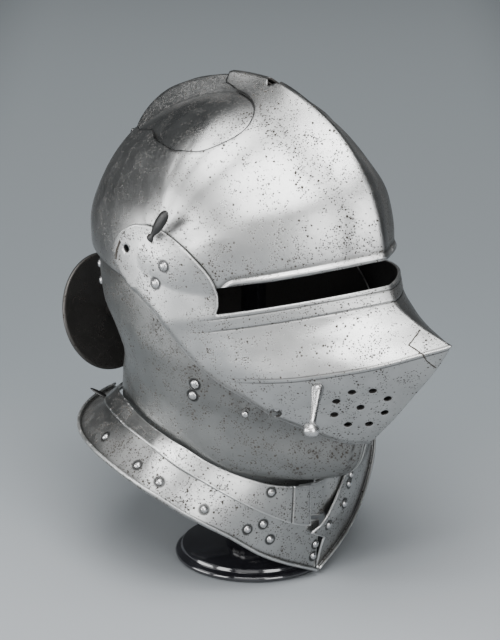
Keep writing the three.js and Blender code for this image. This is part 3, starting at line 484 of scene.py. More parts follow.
def plate(name, face, a_values, b_values, thickness, material, centre, keep=None, relief=None, rivets=(),
          bores=(), grime=None, lines=None, lip=None):
    """A forged plate: two faces and a rounded rim where it is trimmed. Bores wear no bright edge."""
    bulge = RIM_BULGE * thickness
    edge = (lambda p, a, b: keep(p, a, b) - bulge) if keep else (lambda p, a, b: np.full(np.shape(a), 9.0))
    a, b, polygons = trimmed_grid(face, a_values, b_values, edge)
    place = face(a, b)
    used, polygons = weld(place, polygons)
    a, b, place = a[used], b[used], place[used]
    normal = corner_normals(place, polygons)
    if np.sum(normal * (place - np.array(centre, float))) < 0:
        polygons = [ring[::-1] for ring in polygons]
        normal = -normal
    inner = place - normal * thickness
    if relief:
        place = place + normal * relief(place, a, b, normal)[:, None]
        normal = corner_normals(place, polygons)

    open_edges = set()
    for ring in polygons:
        for start, end in zip(ring, ring[1:] + ring[:1]):
            if (end, start) in open_edges:
                open_edges.remove((end, start))
            else:
                open_edges.add((start, end))
    open_edges = sorted(open_edges)
    start, end = np.array(open_edges).T
    outward = np.zeros_like(place)
    side = unit(np.cross(place[end] - place[start], (normal[start] + normal[end]) / 2))
    np.add.at(outward, start, side)
    np.add.at(outward, end, side)
    outward = unit(outward)
    border = np.unique(np.r_[start, end])
    count = len(place)
    place_in_border = {int(v): n for n, v in enumerate(border)}
    layers = [place, inner]
    for k in range(1, RIM_SEGMENTS):
        turn = np.pi * k / RIM_SEGMENTS
        middle = (place[border] + inner[border]) / 2
        layers.append(middle + normal[border] * math.cos(turn) * thickness / 2
                      + outward[border] * math.sin(turn) * bulge)
    faces = polygons + [[v + count for v in ring[::-1]] for ring in polygons]
    for u, v in open_edges:
        down_u, down_v = (
            [w] + [2 * count + k * len(border) + place_in_border[w] for k in range(RIM_SEGMENTS - 1)]
            + [w + count] for w in (u, v))
        for k in range(RIM_SEGMENTS):
            faces.append([down_v[k], down_u[k], down_u[k + 1], down_v[k + 1]])

    everywhere = np.concatenate(layers)
    bored = np.zeros(len(border), bool)
    for distance in bores:
        bored |= np.abs(distance(place[border])) < 1.2
    worn_border = border[~bored]
    tree = KDTree(len(worn_border))
    for n, v in enumerate(worn_border):
        tree.insert(place[v], n)
    tree.balance()
    edge_distance = np.array([min(EDGE_REACH, tree.find(p)[2]) for p in place])
    rim_wear = np.tile(np.where(bored, 4.0, 0.0), RIM_SEGMENTS - 1)
    # inside: 1 on the inner face and in bored holes, which the material darkens, partly as unpolished steel
    # and partly as painted shade.
    rim_inside = np.concatenate([np.where(bored, 1.0, k / RIM_SEGMENTS) for k in range(1, RIM_SEGMENTS)])
    rivet_distance = np.full(len(everywhere), EDGE_REACH)
    for spot in rivets:
        rivet_distance = np.minimum(rivet_distance, np.linalg.norm(everywhere - spot, axis=1))
    attributes = {"edge_mm": np.r_[edge_distance, edge_distance, rim_wear], "rivet_mm": rivet_distance,
                  "inside": np.r_[np.zeros(count), np.ones(count), rim_inside]}
    if grime:
        attributes["grime"] = grime(everywhere)
    # lines gives the painted shade in the cut lines and along the gaps at the edges.
    if lines:
        attributes["engraved"] = np.r_[lines(place, a, b), np.zeros(len(everywhere) - count)]
    if lip:
        attributes["lip_mm"] = lip(everywhere)
    return mesh_object(name, everywhere, faces, material, attributes)


def spot(face, a, b, middle=(0, 0, 0)):
    """A place on a face and the direction straight out of it."""
    step = 0.02
    p = face(a, b)
    out = unit(np.cross(face(a + step, b) - face(a - step, b), face(a, b + step) - face(a, b - step)))
    away = p - np.array(middle, float)
    away[2] = 0
    return p, out * np.sign(np.sum(out * away))


def turned(name, profile, place, direction, material, sides=40, flat=1.0, thin_along=(1, 0, 0),
           cut_below=None):
    """A piece turned on a lathe from (radius, height) points, flattened along one direction if asked."""
    axis = unit(np.array(direction, float))
    thin = np.array(thin_along, float)
    thin = unit(thin - axis * np.dot(thin, axis))
    wide = np.cross(axis, thin)
    angle = np.arange(sides) * 2 * np.pi / sides
    places, faces = [], []
    for radius, height in profile:
        ring = (np.cos(angle)[:, None] * wide + np.sin(angle)[:, None] * thin * flat) * radius
        places.append(np.array(place) + axis * height + ring)
    for n in range(len(profile) - 1):
        for k in range(sides):
            m = (k + 1) % sides
            faces.append([n * sides + k, n * sides + m, (n + 1) * sides + m, (n + 1) * sides + k])
    places = np.concatenate(places)
    if cut_below is not None:
        foot, out = cut_below
        depth = np.sum((places - foot) * out, -1)
        slide = np.sum(axis * out)
        low = depth < 0
        places[low] -= (depth[low] / slide)[:, None] * axis
    places = np.concatenate([places, [places[:sides].mean(0), places[-sides:].mean(0)]])
    foot_id, head_id = len(places) - 2, len(places) - 1
    last = (len(profile) - 1) * sides
    for k in range(sides):
        m = (k + 1) % sides
        faces.append([foot_id, m, k])
        faces.append([head_id, last + k, last + m])
    return mesh_object(name, places, faces, material)


def softened(points):
    """A turned outline with its corners softened by cutting them twice."""
    points = [np.array(p, float) for p in points]
    for _ in range(2):
        soft = [points[0]]
        for a, b in zip(points, points[1:]):
            size = np.linalg.norm(b - a)
            cut = min(0.25 * size, 0.8)
            soft += [a + (b - a) * cut / size, b - (b - a) * cut / size]
        points = soft + [points[-1]]
    return [tuple(p) for p in points]


# Keeping edges of the plates.
def above_rear_edge(p):
    return p[..., 2] - REAR_EDGE - REAR_EDGE_RISE * (p[..., 1] - 40)


in_window = inside_outline(mirrored_outline(WINDOW_OUTLINE))
in_visor = inside_outline(VISOR_OUTLINE)
in_cheek = inside_outline(CHEEK_OUTLINE)
in_lap = inside_outline(LAP_OUTLINE)
WINDOW_ABOVE = 250.0
PLUME = dict(turn=math.radians(78.4), size=5.6, depth=70.0)


def plume_distance(p):
    """Distance to the square hole for a plume, pierced on its corner astride the comb."""
    c, s = math.cos(PLUME["turn"]), math.sin(PLUME["turn"])
    y, z = p[..., 1] - EAR_Y, p[..., 2] - EAR_Z
    out, along = -y * c + z * s, y * s + z * c
    from_edge = (np.abs(p[..., 0]) + np.abs(along) - PLUME["size"]) / math.sqrt(2)
    return np.where(out > PLUME["depth"], from_edge, 20)


def skull_keep(p, a, b):
    edge = np.where(p[..., 1] > REAR_PART, above_rear_edge(p), lean_height(p) - SIGHT_TOP - 1.5)
    return np.minimum(edge, plume_distance(p))


def brow_keep(p, a, b):
    edge = np.where(p[..., 1] > REAR_PART, above_rear_edge(p) - 2, lean_height(p) - SIGHT_TOP)
    window = np.where(p[..., 2] > WINDOW_ABOVE, -in_window(p[..., 0], p[..., 1]), 20)
    return np.minimum(np.minimum(edge, window), plume_distance(p))


PIVOT = dict(y=23.1, z=227.2, hole=2.3, inner=89.8, outer=93.6)
CATCH = dict(level=112.7, angle=61.4, hole=3.5, radius=2.2)
BREATH_RADIUS = 2.3
BREATH_HOLES = rows("level angle", [
    (123.1, 41.1), (120.8, 33.9), (116.4, 44.2), (111.8, 24.3), (108.7, 34.2), (106.2, 42.9), (101.7, 20.1),
    (97.1, 35.7), (94.9, 24.6)])
visor_holes = []
for level, angle in zip(BREATH_HOLES["level"], BREATH_HOLES["angle"]):
    visor_holes.append(hole(*spot(visor_point, level, angle), BREATH_RADIUS))
visor_holes.append(hole(*spot(visor_point, CATCH["level"], CATCH["angle"]), CATCH["hole"]))
for side in (-1, 1):
    visor_holes.append(hole((side * 92, PIVOT["y"], PIVOT["z"]), (side, 0, 0), PIVOT["hole"]))


def visor_keep(p, a, b):
    value = in_visor(lean_y(p), lean_height(p))
    for bored in visor_holes:
        value = np.minimum(value, bored(p))
    return value


def visor_relief(p, level, angle, out):
    """The engraved line and the step below the sight, and the double line of the crease."""
    line = groove(level, SIGHT_LINE, 0.35, 0.45) + groove(level, SIGHT_STEP, 0.45, 0.5)
    band = 0.35 * smooth(SIGHT_STEP, SIGHT_STEP + 0.8, level) * (1 - smooth(183, 186, level))
    crease = groove(level, CREASE - 2.4, 0.3, 0.5) * (1 - smooth(60, 78, np.abs(angle)))
    front = 1 - smooth(62, 75, np.abs(angle))
    return hammer(p, 0.06) + (line + band) * front + crease + closing(p, out)


def closing(p, out):
    """Brings the visor's lower and rear edge in against the cheek plates, with only a thin line left."""
    y, h = lean_y(p), lean_height(p)
    edge = in_visor(y, h)
    low = np.maximum(1 - smooth(162, 176, h), smooth(-66, -50, y) * (1 - smooth(206, 222, h)))
    weight = low * (1 - smooth(0.4, 4.5, edge))
    sink = np.zeros(len(p))
    for n in np.flatnonzero(weight > 0.01):
        found = cheek_shape.ray_cast(Vector(p[n]), Vector(-out[n]), 9.0)
        if found[0] is not None:
            sink[n] = max(0.0, found[3] - VISOR_THICKNESS - 0.45)
    return -np.minimum(sink, 1.2) * weight


def cheek_keep(side):
    def read(p, a, b):
        return np.minimum(in_cheek(lean_y(p), lean_height(p)), side * p[..., 0] - 0.9)
    return read


UNDERLAP = LAME_THICKNESS + TUCK_GAP


def settle(t):
    return 1 - np.clip(t, 0, 1)


def upper_face(t, angle):
    return gorget_point(t, angle)


def upper_face_left(t, angle):
    return gorget_point(t, angle, -UNDERLAP * smooth(-14, -4, angle))


def lower_face(t, angle):
    reach = np.where(np.asarray(t) < 0, t * gorget_of["tucked"](np.abs(angle)), t)
    return gorget_point(reach, angle, -UNDERLAP * settle(t))


def lower_face_left(t, angle):
    reach = np.where(np.asarray(t) < 0, t * gorget_of["lapped"](np.abs(angle)), t)
    return gorget_point(reach, angle, UNDERLAP * settle(t))


# Where the rivets sit: on the visor's arms, the cheek plates and the gorget's lames.
ARM_RIVETS = [(214.6, 79.3), (203.9, 84.1)]
CHEEK_RIVETS = [(150.2, 75.3), (141.7, 76.9), (188, 140), (174, 138)]
SIDE_RIVETS = [(0.6, 113), (0.64, 92.4), (0.65, 77.7), (0.68, 54.3)]
RIGHT_RIVETS = [(0.63, 35.4), (0.31, 29.9), (0.61, 25.3), (0.47, 1.6), (0.75, 2.3)]
LEFT_RIVETS = [(0.06, 3), (-0.1, 14.2), (-0.43, 19.2), (-0.58, 22)]
UPPER_RIVET = (-0.78, 29.2)
RIVET_RADIUS, LAME_RIVET_RADIUS, RIVET_HEIGHT = 3.0, 2.5, 1.7


def spots(face, table, sign=1):
    return [spot(face, a, sign * b) for a, b in table]


# Materials.
def feed(tree, socket, value):
    """Links a socket to another socket, or sets it to a plain value."""
    if isinstance(value, bpy.types.NodeSocket):
        tree.links.new(value, socket)
    else:
        socket.default_value = value


def add_node(tree, kind, **values):
    """A node of that kind; each value sets a property of it or, where it has none so named, an input."""
    made = tree.nodes.new(kind)
    for key, value in values.items():
        if hasattr(made, key):
            setattr(made, key, value)
        else:
            feed(tree, made.inputs[key.replace("_", " ")], value)
    return made


def calculate(tree, operation, *values, kind="ShaderNodeMath", **settings):
    """A node that works out a sum from values in their order; returns its outputs."""
    made = add_node(tree, kind, operation=operation, **settings)
    for socket, value in zip(made.inputs, values):
        feed(tree, socket, value)
    return made.outputs


def number(tree, operation, *values, clamp=False):
    """A sum on numbers."""
    return calculate(tree, operation, *values, use_clamp=clamp)[0]


def vector(tree, operation, *values):
    """A sum on vectors."""
    made = calculate(tree, operation, *values, kind="ShaderNodeVectorMath")
    return made["Value" if operation in ("DOT_PRODUCT", "LENGTH") else "Vector"]


def between(tree, value, low, high, to_low=0.0, to_high=1.0):
    """Maps a socket smoothly from one range to another."""
    return add_node(tree, "ShaderNodeMapRange", interpolation_type="SMOOTHSTEP", Value=value, From_Min=low,
                    From_Max=high, To_Min=to_low, To_Max=to_high).outputs["Result"]


def blend_colour(tree, share, under, over):
    """Colour under, covered by colour over as far as share says; each colour is a tuple or a socket."""
    made = add_node(tree, "ShaderNodeMix", data_type="RGBA", Factor=share)
    for socket, colour in zip(made.inputs[6:8], (under, over)):
        feed(tree, socket, (*colour, 1) if isinstance(colour, tuple) else colour)
    return made.outputs[2]


def noise(tree, place, **values):
    return add_node(tree, "ShaderNodeTexNoise", Vector=place, **values).outputs


def attribute(tree, name):
    return add_node(tree, "ShaderNodeAttribute", attribute_name=name).outputs["Fac"]


def toned(colour, share):
    return tuple(c * share for c in colour)


def shader_group(name, inputs, outputs):
    """An empty node group with named sockets; returns it with the sockets inside it."""
    group = bpy.data.node_groups.new(name, "ShaderNodeTree")
    for key, value in inputs.items():
        kind = "NodeSocketVector" if value is None else "NodeSocketFloat"
        socket = group.interface.new_socket(name=key, in_out="INPUT", socket_type=kind)
        if value is not None:
            socket.default_value = value
    for key in outputs:
        group.interface.new_socket(name=key, in_out="OUTPUT", socket_type="NodeSocketFloat")
    return group, group.nodes.new("NodeGroupInput").outputs, group.nodes.new("NodeGroupOutput").inputs


def in_millimetres(tree, place):
    return vector(tree, "MULTIPLY", place, (1000.0, 1000.0, 1000.0))


def make_pitting():
    """Rust pits in loose patches: a mask of them, and a stain where they lie close."""
    group, given, result = shader_group(
        "rust_pits", {"Place": None, "Pit Size": 1.0, "Amount": 0.4, "Patch Size": 30.0}, ["Pits", "Stain"])
    place = in_millimetres(group, given["Place"])
    bent = noise(group, place, Scale=0.9, Detail=2.0)["Color"]
    cells = add_node(group, "ShaderNodeTexVoronoi", feature="F1", Randomness=1.0,
                     Vector=vector(group, "MULTIPLY_ADD", bent, (0.9, 0.9, 0.9), place),
                     Scale=number(group, "DIVIDE", 1.0, given["Pit Size"])).outputs
    patches = noise(group, place, Detail=4.0, Roughness=0.6,
                    Scale=number(group, "DIVIDE", 1.0, given["Patch Size"]))["Fac"]
    split = add_node(group, "ShaderNodeSeparateColor", Color=cells["Color"]).outputs
    wanted = number(group, "MULTIPLY", given["Amount"], between(group, patches, 0.46, 0.68, 0.03, 2.2))
    chosen = number(group, "LESS_THAN", split[0], wanted)
    size = between(group, split[1], 0.0, 1.0, 0.2, 0.55)
    dot = between(group, number(group, "DIVIDE", cells["Distance"], size), 0.5, 1.0, 1.0, 0.0)
    stain = between(group, patches, 0.46, 0.72)
    feed(group, result["Pits"], number(group, "MULTIPLY", dot, chosen, clamp=True))
    feed(group, result["Stain"], number(group, "MULTIPLY", stain, given["Amount"], clamp=True))
    return group


def make_edge_wear_and_shade():
    """Bright worn edges, and painted shade in a band beside them and in a ring round the rivets."""
    group, given, result = shader_group(
        "edge_wear_and_shade", {"Place": None, "Edge Distance": 10.0, "Rivet Distance": 10.0, "Rivet Radius": 3.0,
                      "Bright Width": 0.9, "Edge Shade Width": 3.0}, ["Bright", "Edge Shade"])
    ragged = noise(group, given["Place"], Scale=220.0, Detail=3.0)["Fac"]
    waver = number(group, "MULTIPLY_ADD", ragged, 1.2, 0.4)
    bright_width = number(group, "MULTIPLY", given["Bright Width"], waver)
    edge_shade_width = number(group, "MULTIPLY", given["Edge Shade Width"], waver)
    worn = between(group, given["Edge Distance"], 0.0, bright_width, 1.0, 0.0)
    # Painted shade: a dark band beside the bright worn edge.
    near = between(group, given["Edge Distance"], bright_width, edge_shade_width, 1.0, 0.0)
    near = number(group, "MULTIPLY", near, number(group, "SUBTRACT", 1.0, worn))
    # Painted shade: a dark ring round each rivet head, where it meets the plate.
    gap = number(group, "SUBTRACT", given["Rivet Distance"], given["Rivet Radius"])
    ring = between(group, gap, 0.8, 2.0, 1.0, 0.0)
    feed(group, result["Bright"], worn)
    feed(group, result["Edge Shade"], number(group, "MAXIMUM", number(group, "MULTIPLY", near, 0.2), ring))
    return group


# The turns of three sets of scratches, and how far each set is drawn out.
SCRATCHES = [((0.3, 0.5, 0.1), (0.05, 1.5, 1.5)), ((1.1, -0.4, 0.9), (1.3, 0.04, 1.3)),
             ((-0.7, 0.9, 2.0), (1.2, 1.2, 0.05))]


def make_polish():
    """Old polishing: faint cloudy tone, and fine scratches in three directions."""
    group, given, result = shader_group(
        "old_polish", {"Place": None, "Cloud Size": 24.0, "Scratches": 0.5}, ["Cloud", "Scratch"])
    place = in_millimetres(group, given["Place"])
    scale = number(group, "DIVIDE", 1.0, given["Cloud Size"])
    lines = 0.0
    for turn, stretch in SCRATCHES:
        turned_place = add_node(group, "ShaderNodeMapping", Rotation=turn, Scale=stretch,
                                Vector=place).outputs[0]
        streak = noise(group, turned_place, Scale=1.1, Detail=2.0, Roughness=0.55)["Fac"]
        offset = number(group, "ABSOLUTE", number(group, "SUBTRACT", streak, 0.5))
        lines = number(group, "MAXIMUM", lines, between(group, offset, 0.0, 0.018, 1.0, 0.0))
    feed(group, result["Cloud"], noise(group, place, Detail=5.0, Roughness=0.62, Scale=scale)["Fac"])
    feed(group, result["Scratch"], number(group, "MULTIPLY", lines, given["Scratches"], clamp=True))
    return group


def make_crack():
    """A thin crooked line from one place to another, both in millimetres."""
    group, given, result = shader_group(
        "fine_crack", {"Place": None, "Start": None, "End": None, "Width": 0.5}, ["Mask"])
    place = in_millimetres(group, given["Place"])
    wobble = noise(group, place, Scale=0.5, Detail=3.0)["Color"]
    place = vector(group, "MULTIPLY_ADD", wobble, (1.2, 1.2, 1.2), place)
    place = vector(group, "ADD", place, (-0.6, -0.6, -0.6))
    reach = vector(group, "SUBTRACT", given["End"], given["Start"])
    away = vector(group, "SUBTRACT", place, given["Start"])
    along = vector(group, "DOT_PRODUCT", away, reach)
    share = number(group, "DIVIDE", along, vector(group, "DOT_PRODUCT", reach, reach), clamp=True)
    nearest = vector(group, "MULTIPLY", reach, share)
    distance = vector(group, "LENGTH", vector(group, "SUBTRACT", away, nearest))
    distance = number(group, "DIVIDE", distance, given["Width"])
    feed(group, result["Mask"], between(group, distance, 0.4, 1.0, 1.0, 0.0))
    return group


rust_pits, edge_wear_and_shade, old_polish, fine_crack = make_pitting(), make_edge_wear_and_shade(), make_polish(), make_crack()


def place_group(tree, group, place, **values):
    return add_node(tree, "ShaderNodeGroup", node_tree=group, Place=place, **values).outputs


def new_material(name):
    """A material, with its tree, its shader and the places on the object."""
    material = bpy.data.materials.new(name)
    material.use_nodes = True
    tree = material.node_tree
    place = add_node(tree, "ShaderNodeTexCoord").outputs["Object"]
    return material, tree, tree.nodes["Principled BSDF"].inputs, place


def worn_and_shaded_colour(tree, place, colour, tone, head, shine):
    """Painted shade beside the edges and round the rivets, bright worn metal at the edges, and painted shade
    in the cut lines and gaps.
    """
    worn = place_group(tree, edge_wear_and_shade, place, Edge_Distance=attribute(tree, "edge_mm"),
                       Rivet_Distance=attribute(tree, "rivet_mm"), Rivet_Radius=head)
    # Painted shade beside the edges and round the rivets.
    colour = blend_colour(tree, number(tree, "MULTIPLY", worn["Edge Shade"], 0.92), colour, toned(tone, 0.12))
    colour = blend_colour(tree, number(tree, "MULTIPLY", worn["Bright"], shine), colour, toned(tone, 1.55))
    # Painted shade in the cut lines, the crease and the gaps at the edges.
    cut = number(tree, "MULTIPLY", attribute(tree, "engraved"), 0.85, clamp=True)
    return blend_colour(tree, cut, colour, (0.03, 0.028, 0.025))


def rolled_lip(tree, colour, normal):
    """The turned lip over the sight: a bump for the bead, a painted highlight on it, a painted shade line
    above it, and painted shade along the plate's edge away from the lip.
    """
    over = attribute(tree, "lip_mm")
    roll = number(tree, "SUBTRACT", between(tree, over, 2.4, 5.0, 1.0, 0.0),
                  between(tree, over, 0.0, 2.0, 1.0, 0.0))
    bead = add_node(tree, "ShaderNodeBump", Strength=1.0, Distance=0.0011, Height=roll,
                    Normal=normal).outputs[0]
    # Painted shade: a dark line above the bead.
    above = number(tree, "SUBTRACT", between(tree, over, 4.2, 4.9), between(tree, over, 5.2, 8.5))
    # Painted highlight along the bead.
    lit = number(tree, "SUBTRACT", between(tree, over, 0.6, 1.8), between(tree, over, 3.4, 4.2))
    # Painted shade along the plate's edge where it lies over the skull, away from the lip.
    seam = between(tree, attribute(tree, "edge_mm"), 0.15, 0.75, 0.85, 0.0)
    seam = number(tree, "MULTIPLY", seam, between(tree, over, 6.0, 12.0))
    colour = blend_colour(tree, number(tree, "MULTIPLY", above, 0.6), colour, (0.08, 0.078, 0.072))
    colour = blend_colour(tree, number(tree, "MULTIPLY", lit, 0.55), colour, (0.78, 0.78, 0.77))
    return blend_colour(tree, seam, colour, (0.03, 0.03, 0.03)), bead


def steel(name, tone=(0.53, 0.535, 0.53), rust=(0.05, 0.042, 0.034), rough=0.33, pits=0.35, patch=32.0,
          wear=True, inner=True, head=3.0, cracks=(), shine=0.8, rolled=False):
    """Old polished steel with pits, cloudy stains, fine scratches and worn edges."""
    material, tree, shader, place = new_material(name)
    polish = place_group(tree, old_polish, place, Scratches=0.5)
    grime = attribute(tree, "grime")
    pit = place_group(tree, rust_pits, place, Pit_Size=1.8, Patch_Size=patch * 0.45,
                      Amount=number(tree, "MULTIPLY_ADD", grime, pits * 1.5, pits * 0.5))
    speck = place_group(tree, rust_pits, place, Pit_Size=1.2, Patch_Size=patch * 0.4,
                        Amount=number(tree, "MULTIPLY_ADD", grime, pits * 7.0, pits * 2.0))
    dark = number(tree, "MAXIMUM", pit["Pits"], number(tree, "MULTIPLY", speck["Pits"], 0.9))
    for start, end, width in cracks:
        crack = place_group(tree, fine_crack, place, Start=start, End=end, Width=width)
        dark = number(tree, "MAXIMUM", dark, crack["Mask"])
    stain = number(tree, "MULTIPLY_ADD", grime, 0.45, number(tree, "MULTIPLY", pit["Stain"], 0.5))

    colour = blend_colour(tree, between(tree, polish["Cloud"], 0.3, 0.7), toned(tone, 0.86), tone)
    colour = blend_colour(tree, stain, colour, toned(tone, 0.62))
    colour = blend_colour(tree, dark, colour, rust)
    dull = number(tree, "MULTIPLY_ADD", polish["Cloud"], 0.16, rough - 0.08)
    for share, amount in ((stain, 0.25), (dark, 0.35), (polish["Scratch"], 0.12)):
        dull = number(tree, "MULTIPLY_ADD", share, amount, dull)
    metal = number(tree, "MULTIPLY_ADD", dark, -0.5, 1.0)
    # Worn bright edges, with painted shade beside them, round the rivets and in the cut lines.
    if wear:
        colour = worn_and_shaded_colour(tree, place, colour, tone, head, shine)
    # Inner faces and bored hole walls: dark, rougher and less metallic, partly as unpolished inside steel
    # and partly as painted shade.
    if inner:
        shade = between(tree, attribute(tree, "inside"), 0.5, 1.0)
        colour = blend_colour(tree, shade, colour, (0.035, 0.032, 0.03))
        dull = number(tree, "MULTIPLY_ADD", shade, 0.35, dull)
        metal = number(tree, "MULTIPLY", metal, number(tree, "MULTIPLY_ADD", shade, -0.7, 1.0))

    height = number(tree, "MULTIPLY_ADD", dark, -1.0, number(tree, "MULTIPLY", polish["Scratch"], -0.12))
    height = number(tree, "MULTIPLY_ADD", polish["Cloud"], 0.5, height)
    normal = add_node(tree, "ShaderNodeBump", Strength=0.25, Distance=0.0004, Height=height).outputs[0]
    if rolled:
        colour, normal = rolled_lip(tree, colour, normal)
    for key, value in {"Base Color": colour, "Roughness": dull, "Metallic": metal, "Normal": normal}.items():
        feed(tree, shader[key], value)
    return material


def crooked_line(width, *places):
    """Short cracks end to end, through places on the visor given by level and angle."""
    points = [tuple(visor_point(level, angle)) for level, angle in places]
    return [(a, b, width) for a, b in zip(points, points[1:])]


# A crack near the visor's point, and painted shade for a small crescent dent at the rear of the right arm's
# round end.
POINT_CRACK = crooked_line(
    0.65, (153.5, 9.0), (151.3, 15.8), (148.3, 22.8), (145.3, 22.5), (143.4, 22.8), (CREASE, 22.6),
    (140.5, 21.6), (136.6, 18.6), (133.0, 14.4), (129.5, 7.5))
ARM_DENT_SHADE = crooked_line(1.5, (230.8, 96.8), (225.5, 99.3), (220.5, 100.5))

skull_steel = steel("skull_steel", pits=0.45, rough=0.28)
# rolled adds the lip's painted highlight and painted shade lines.
plate_steel = steel("reinforcing_plate_steel", pits=0.5, patch=26.0, rough=0.3, shine=0.15, rolled=True)
visor_steel = steel("visor_steel", pits=0.56, patch=28.0, rough=0.3, shine=0.4,
                    cracks=POINT_CRACK + ARM_DENT_SHADE)
# The cheek plates' darker tone: partly their heavier pitting, partly painted shade.
cheek_steel = steel("cheek_plate_steel", tone=(0.28, 0.285, 0.28), pits=0.75, patch=24.0, rough=0.34)
lame_steel = steel("gorget_steel", tone=(0.42, 0.425, 0.42), pits=1.1, patch=22.0, rough=0.3, head=2.5,
                   inner=False)
fitting_steel = steel("rivet_steel", tone=(0.6, 0.6, 0.6), pits=0.12, wear=False, rough=0.25, inner=False)
leaf_steel = steel("leaf_pin_steel", tone=(0.06, 0.06, 0.06), pits=0.3, wear=False, rough=0.4, inner=False)
# Painted shade: the rondel's face, seen from its shadowed inner side, is given a dark tone, and the stem
# shares it.
rondel_shaded_steel = steel("rondel_shaded_dark_steel", tone=(0.12, 0.115, 0.11), rust=(0.03, 0.022, 0.018), pits=0.4,
                     wear=False, rough=0.5, inner=False)


def lacquer(name):
    """The stand's black gloss, faintly clouded and dusty."""
    material, tree, shader, place = new_material(name)
    cloud = place_group(tree, old_polish, place, Cloud_Size=18.0, Scratches=0.4)["Cloud"]
    shader["IOR"].default_value = 2.0
    feed(tree, shader["Base Color"],
         blend_colour(tree, between(tree, cloud, 0.35, 0.75), (0.011, 0.011, 0.014), (0.022, 0.023, 0.028)))
    feed(tree, shader["Roughness"], number(tree, "MULTIPLY_ADD", cloud, 0.12, 0.06))
    feed(tree, shader["Normal"],
         add_node(tree, "ShaderNodeBump", Strength=0.1, Distance=0.0003, Height=cloud).outputs[0])
    return material


stand_black = lacquer("stand_black_lacquer")


# Where rust has bitten most: along the comb's foot, above the lip, below the visor's edge, at the edges of
# its arms and along the gorget's rim.
def foot_grime(p):
    turn = turn_of(p[..., 1], p[..., 2])
    foot = peak(np.abs(p[..., 0]), skull_of["foot"](turn) + 5, 8) * (turn < 125)
    return np.maximum(foot, 0.5 * peak(lean_height(p), SIGHT_TOP + 12, 8))


def cheek_grime(p):
    below = np.maximum(0, -in_visor(lean_y(p), lean_height(p)) - 4)
    return peak(below, 0, 22) * (1 - smooth(190, 215, p[..., 2]))


def visor_grime(p):
    y, h = lean_y(p), lean_height(p)
    arm = smooth(-105, -85, y) * peak(in_visor(y, h), 0, 9)
    return np.maximum(0.7 * arm, 0.5 * peak(h, 176, 9))


def rim_grime(p):
    out = np.hypot(p[..., 0] / RIM_RING["half_width"], (p[..., 1] - WIDEST) / 112)
    return smooth(0.84, 0.98, out)


# Lines cut in the plates, as relief and as painted shade in them.
def above_lip(p):
    """Height above the reinforcing plate's edge over the sight; large where the lip has ended."""
    ended = 20 * smooth(LIP_END, LIP_END + 25, p[..., 1]) + 20 * smooth(0, REAR_PART, p[..., 1])
    return np.clip(lean_height(p) - SIGHT_TOP + ended, 0, 20)


def visor_line_shade(p, level, angle):
    """Painted shade in the lines below the sight and in the double line of the crease, and a painted shade
    line along the lower and rear edge.
    """
    front = 1 - smooth(64, 76, np.abs(angle))
    upper = peak(level, SIGHT_LINE, 0.4) + peak(level, SIGHT_STEP - 0.2, 0.45)
    crease = peak(level, CREASE + 0.9, 0.35) + peak(level, CREASE - 2.3, 0.5)
    y, h = lean_y(p), lean_height(p)
    rear = np.maximum(1 - smooth(150, 165, h), smooth(-66, -50, y) * (1 - smooth(206, 222, h)))
    return np.clip(front * (upper + crease * 0.9) + peak(in_visor(y, h), 0, 1.0) * rear, 0, 1)


def chin_line(p):
    """The line cut beside the joint at the chin."""
    return peak(np.abs(p[..., 0]), CHIN_LINE, 0.5) * (1 - smooth(150, 160, p[..., 2]))


def cheek_line_shade(p, a, b):
    # Painted shade in the chin line, on the front half only.
    return chin_line(p) * (p[..., 1] < 0)


def cheek_relief(p, a, b, out):
    return hammer(p, 0.07) - 0.4 * chin_line(p)


def plain_relief(p, a, b, out):
    return hammer(p, 0.06)


# Skull and reinforcing plate.
pieces = []


def finished(piece, body, *nodes):
    """Each finished piece is kept with its body and the nodes that it stands for."""
    pieces.append((piece, body, nodes))


def skull_across():
    """Places across the skull, closer together at the comb."""
    comb, flank, side = np.arcsin(np.array([2.2, 14, SKULL_HALF_WIDTH]) / SKULL_HALF_WIDTH) * 2 / np.pi
    half = np.r_[spread(lambda b: skull_point(95.0, b), [0, comb, flank], 1.1)[:-1],
                 spread(lambda b: skull_point(95.0, b), [flank, side], 2.1)]
    return np.r_[-half[:0:-1], half]


skull_grid = spread(lambda a: skull_point(a, 0.0), [-18, 213], 1.7), skull_across()
skull_settings = dict(relief=plain_relief, bores=[plume_distance], centre=(0, 0, 220), grime=foot_grime)
finished(plate("skull_shell", skull_point, *skull_grid, SKULL_THICKNESS, skull_steel, keep=skull_keep,
               **skull_settings), HELMET, "skull")
finished(plate("brow_plate", brow_point, *skull_grid, PLATE_THICKNESS, plate_steel, keep=brow_keep,
               lip=above_lip, **skull_settings), HELMET, "reinforcing_plate")

# Cheek plates and nape.
cheek_plates = []
for side, sign in (("right", -1), ("left", 1)):
    cheek_spots = spots(neck_point, CHEEK_RIVETS, -sign)
    angles = spread(lambda b: neck_point(140.0, b), [0.5, 152], 1.6) * -sign
    levels = spread(lambda a: neck_point(a, 90.0), [76, 203], 1.6)
    cheek_plates.append(plate(f"cheek_{side}", neck_point, levels, angles, CHEEK_THICKNESS, cheek_steel,
                              keep=cheek_keep(sign), relief=cheek_relief, centre=(0, 0, 140),
                              rivets=[s[0] for s in cheek_spots], grime=cheek_grime, lines=cheek_line_shade))
    finished(cheek_plates[-1], HELMET, f"cheek_plate_{side}")
finished(plate("nape", lambda a, b: neck_point(a, b, CHEEK_THICKNESS + TUCK_GAP),
               spread(lambda a: neck_point(a, 180.0), [76, 203], 1.8),
               spread(lambda b: neck_point(140.0, b), [147, 213], 1.8), CHEEK_THICKNESS, cheek_steel,
               relief=lambda p, a, b, out: hammer(p, 0.1), centre=(0, 0, 140)), HELMET, "nape_plate")


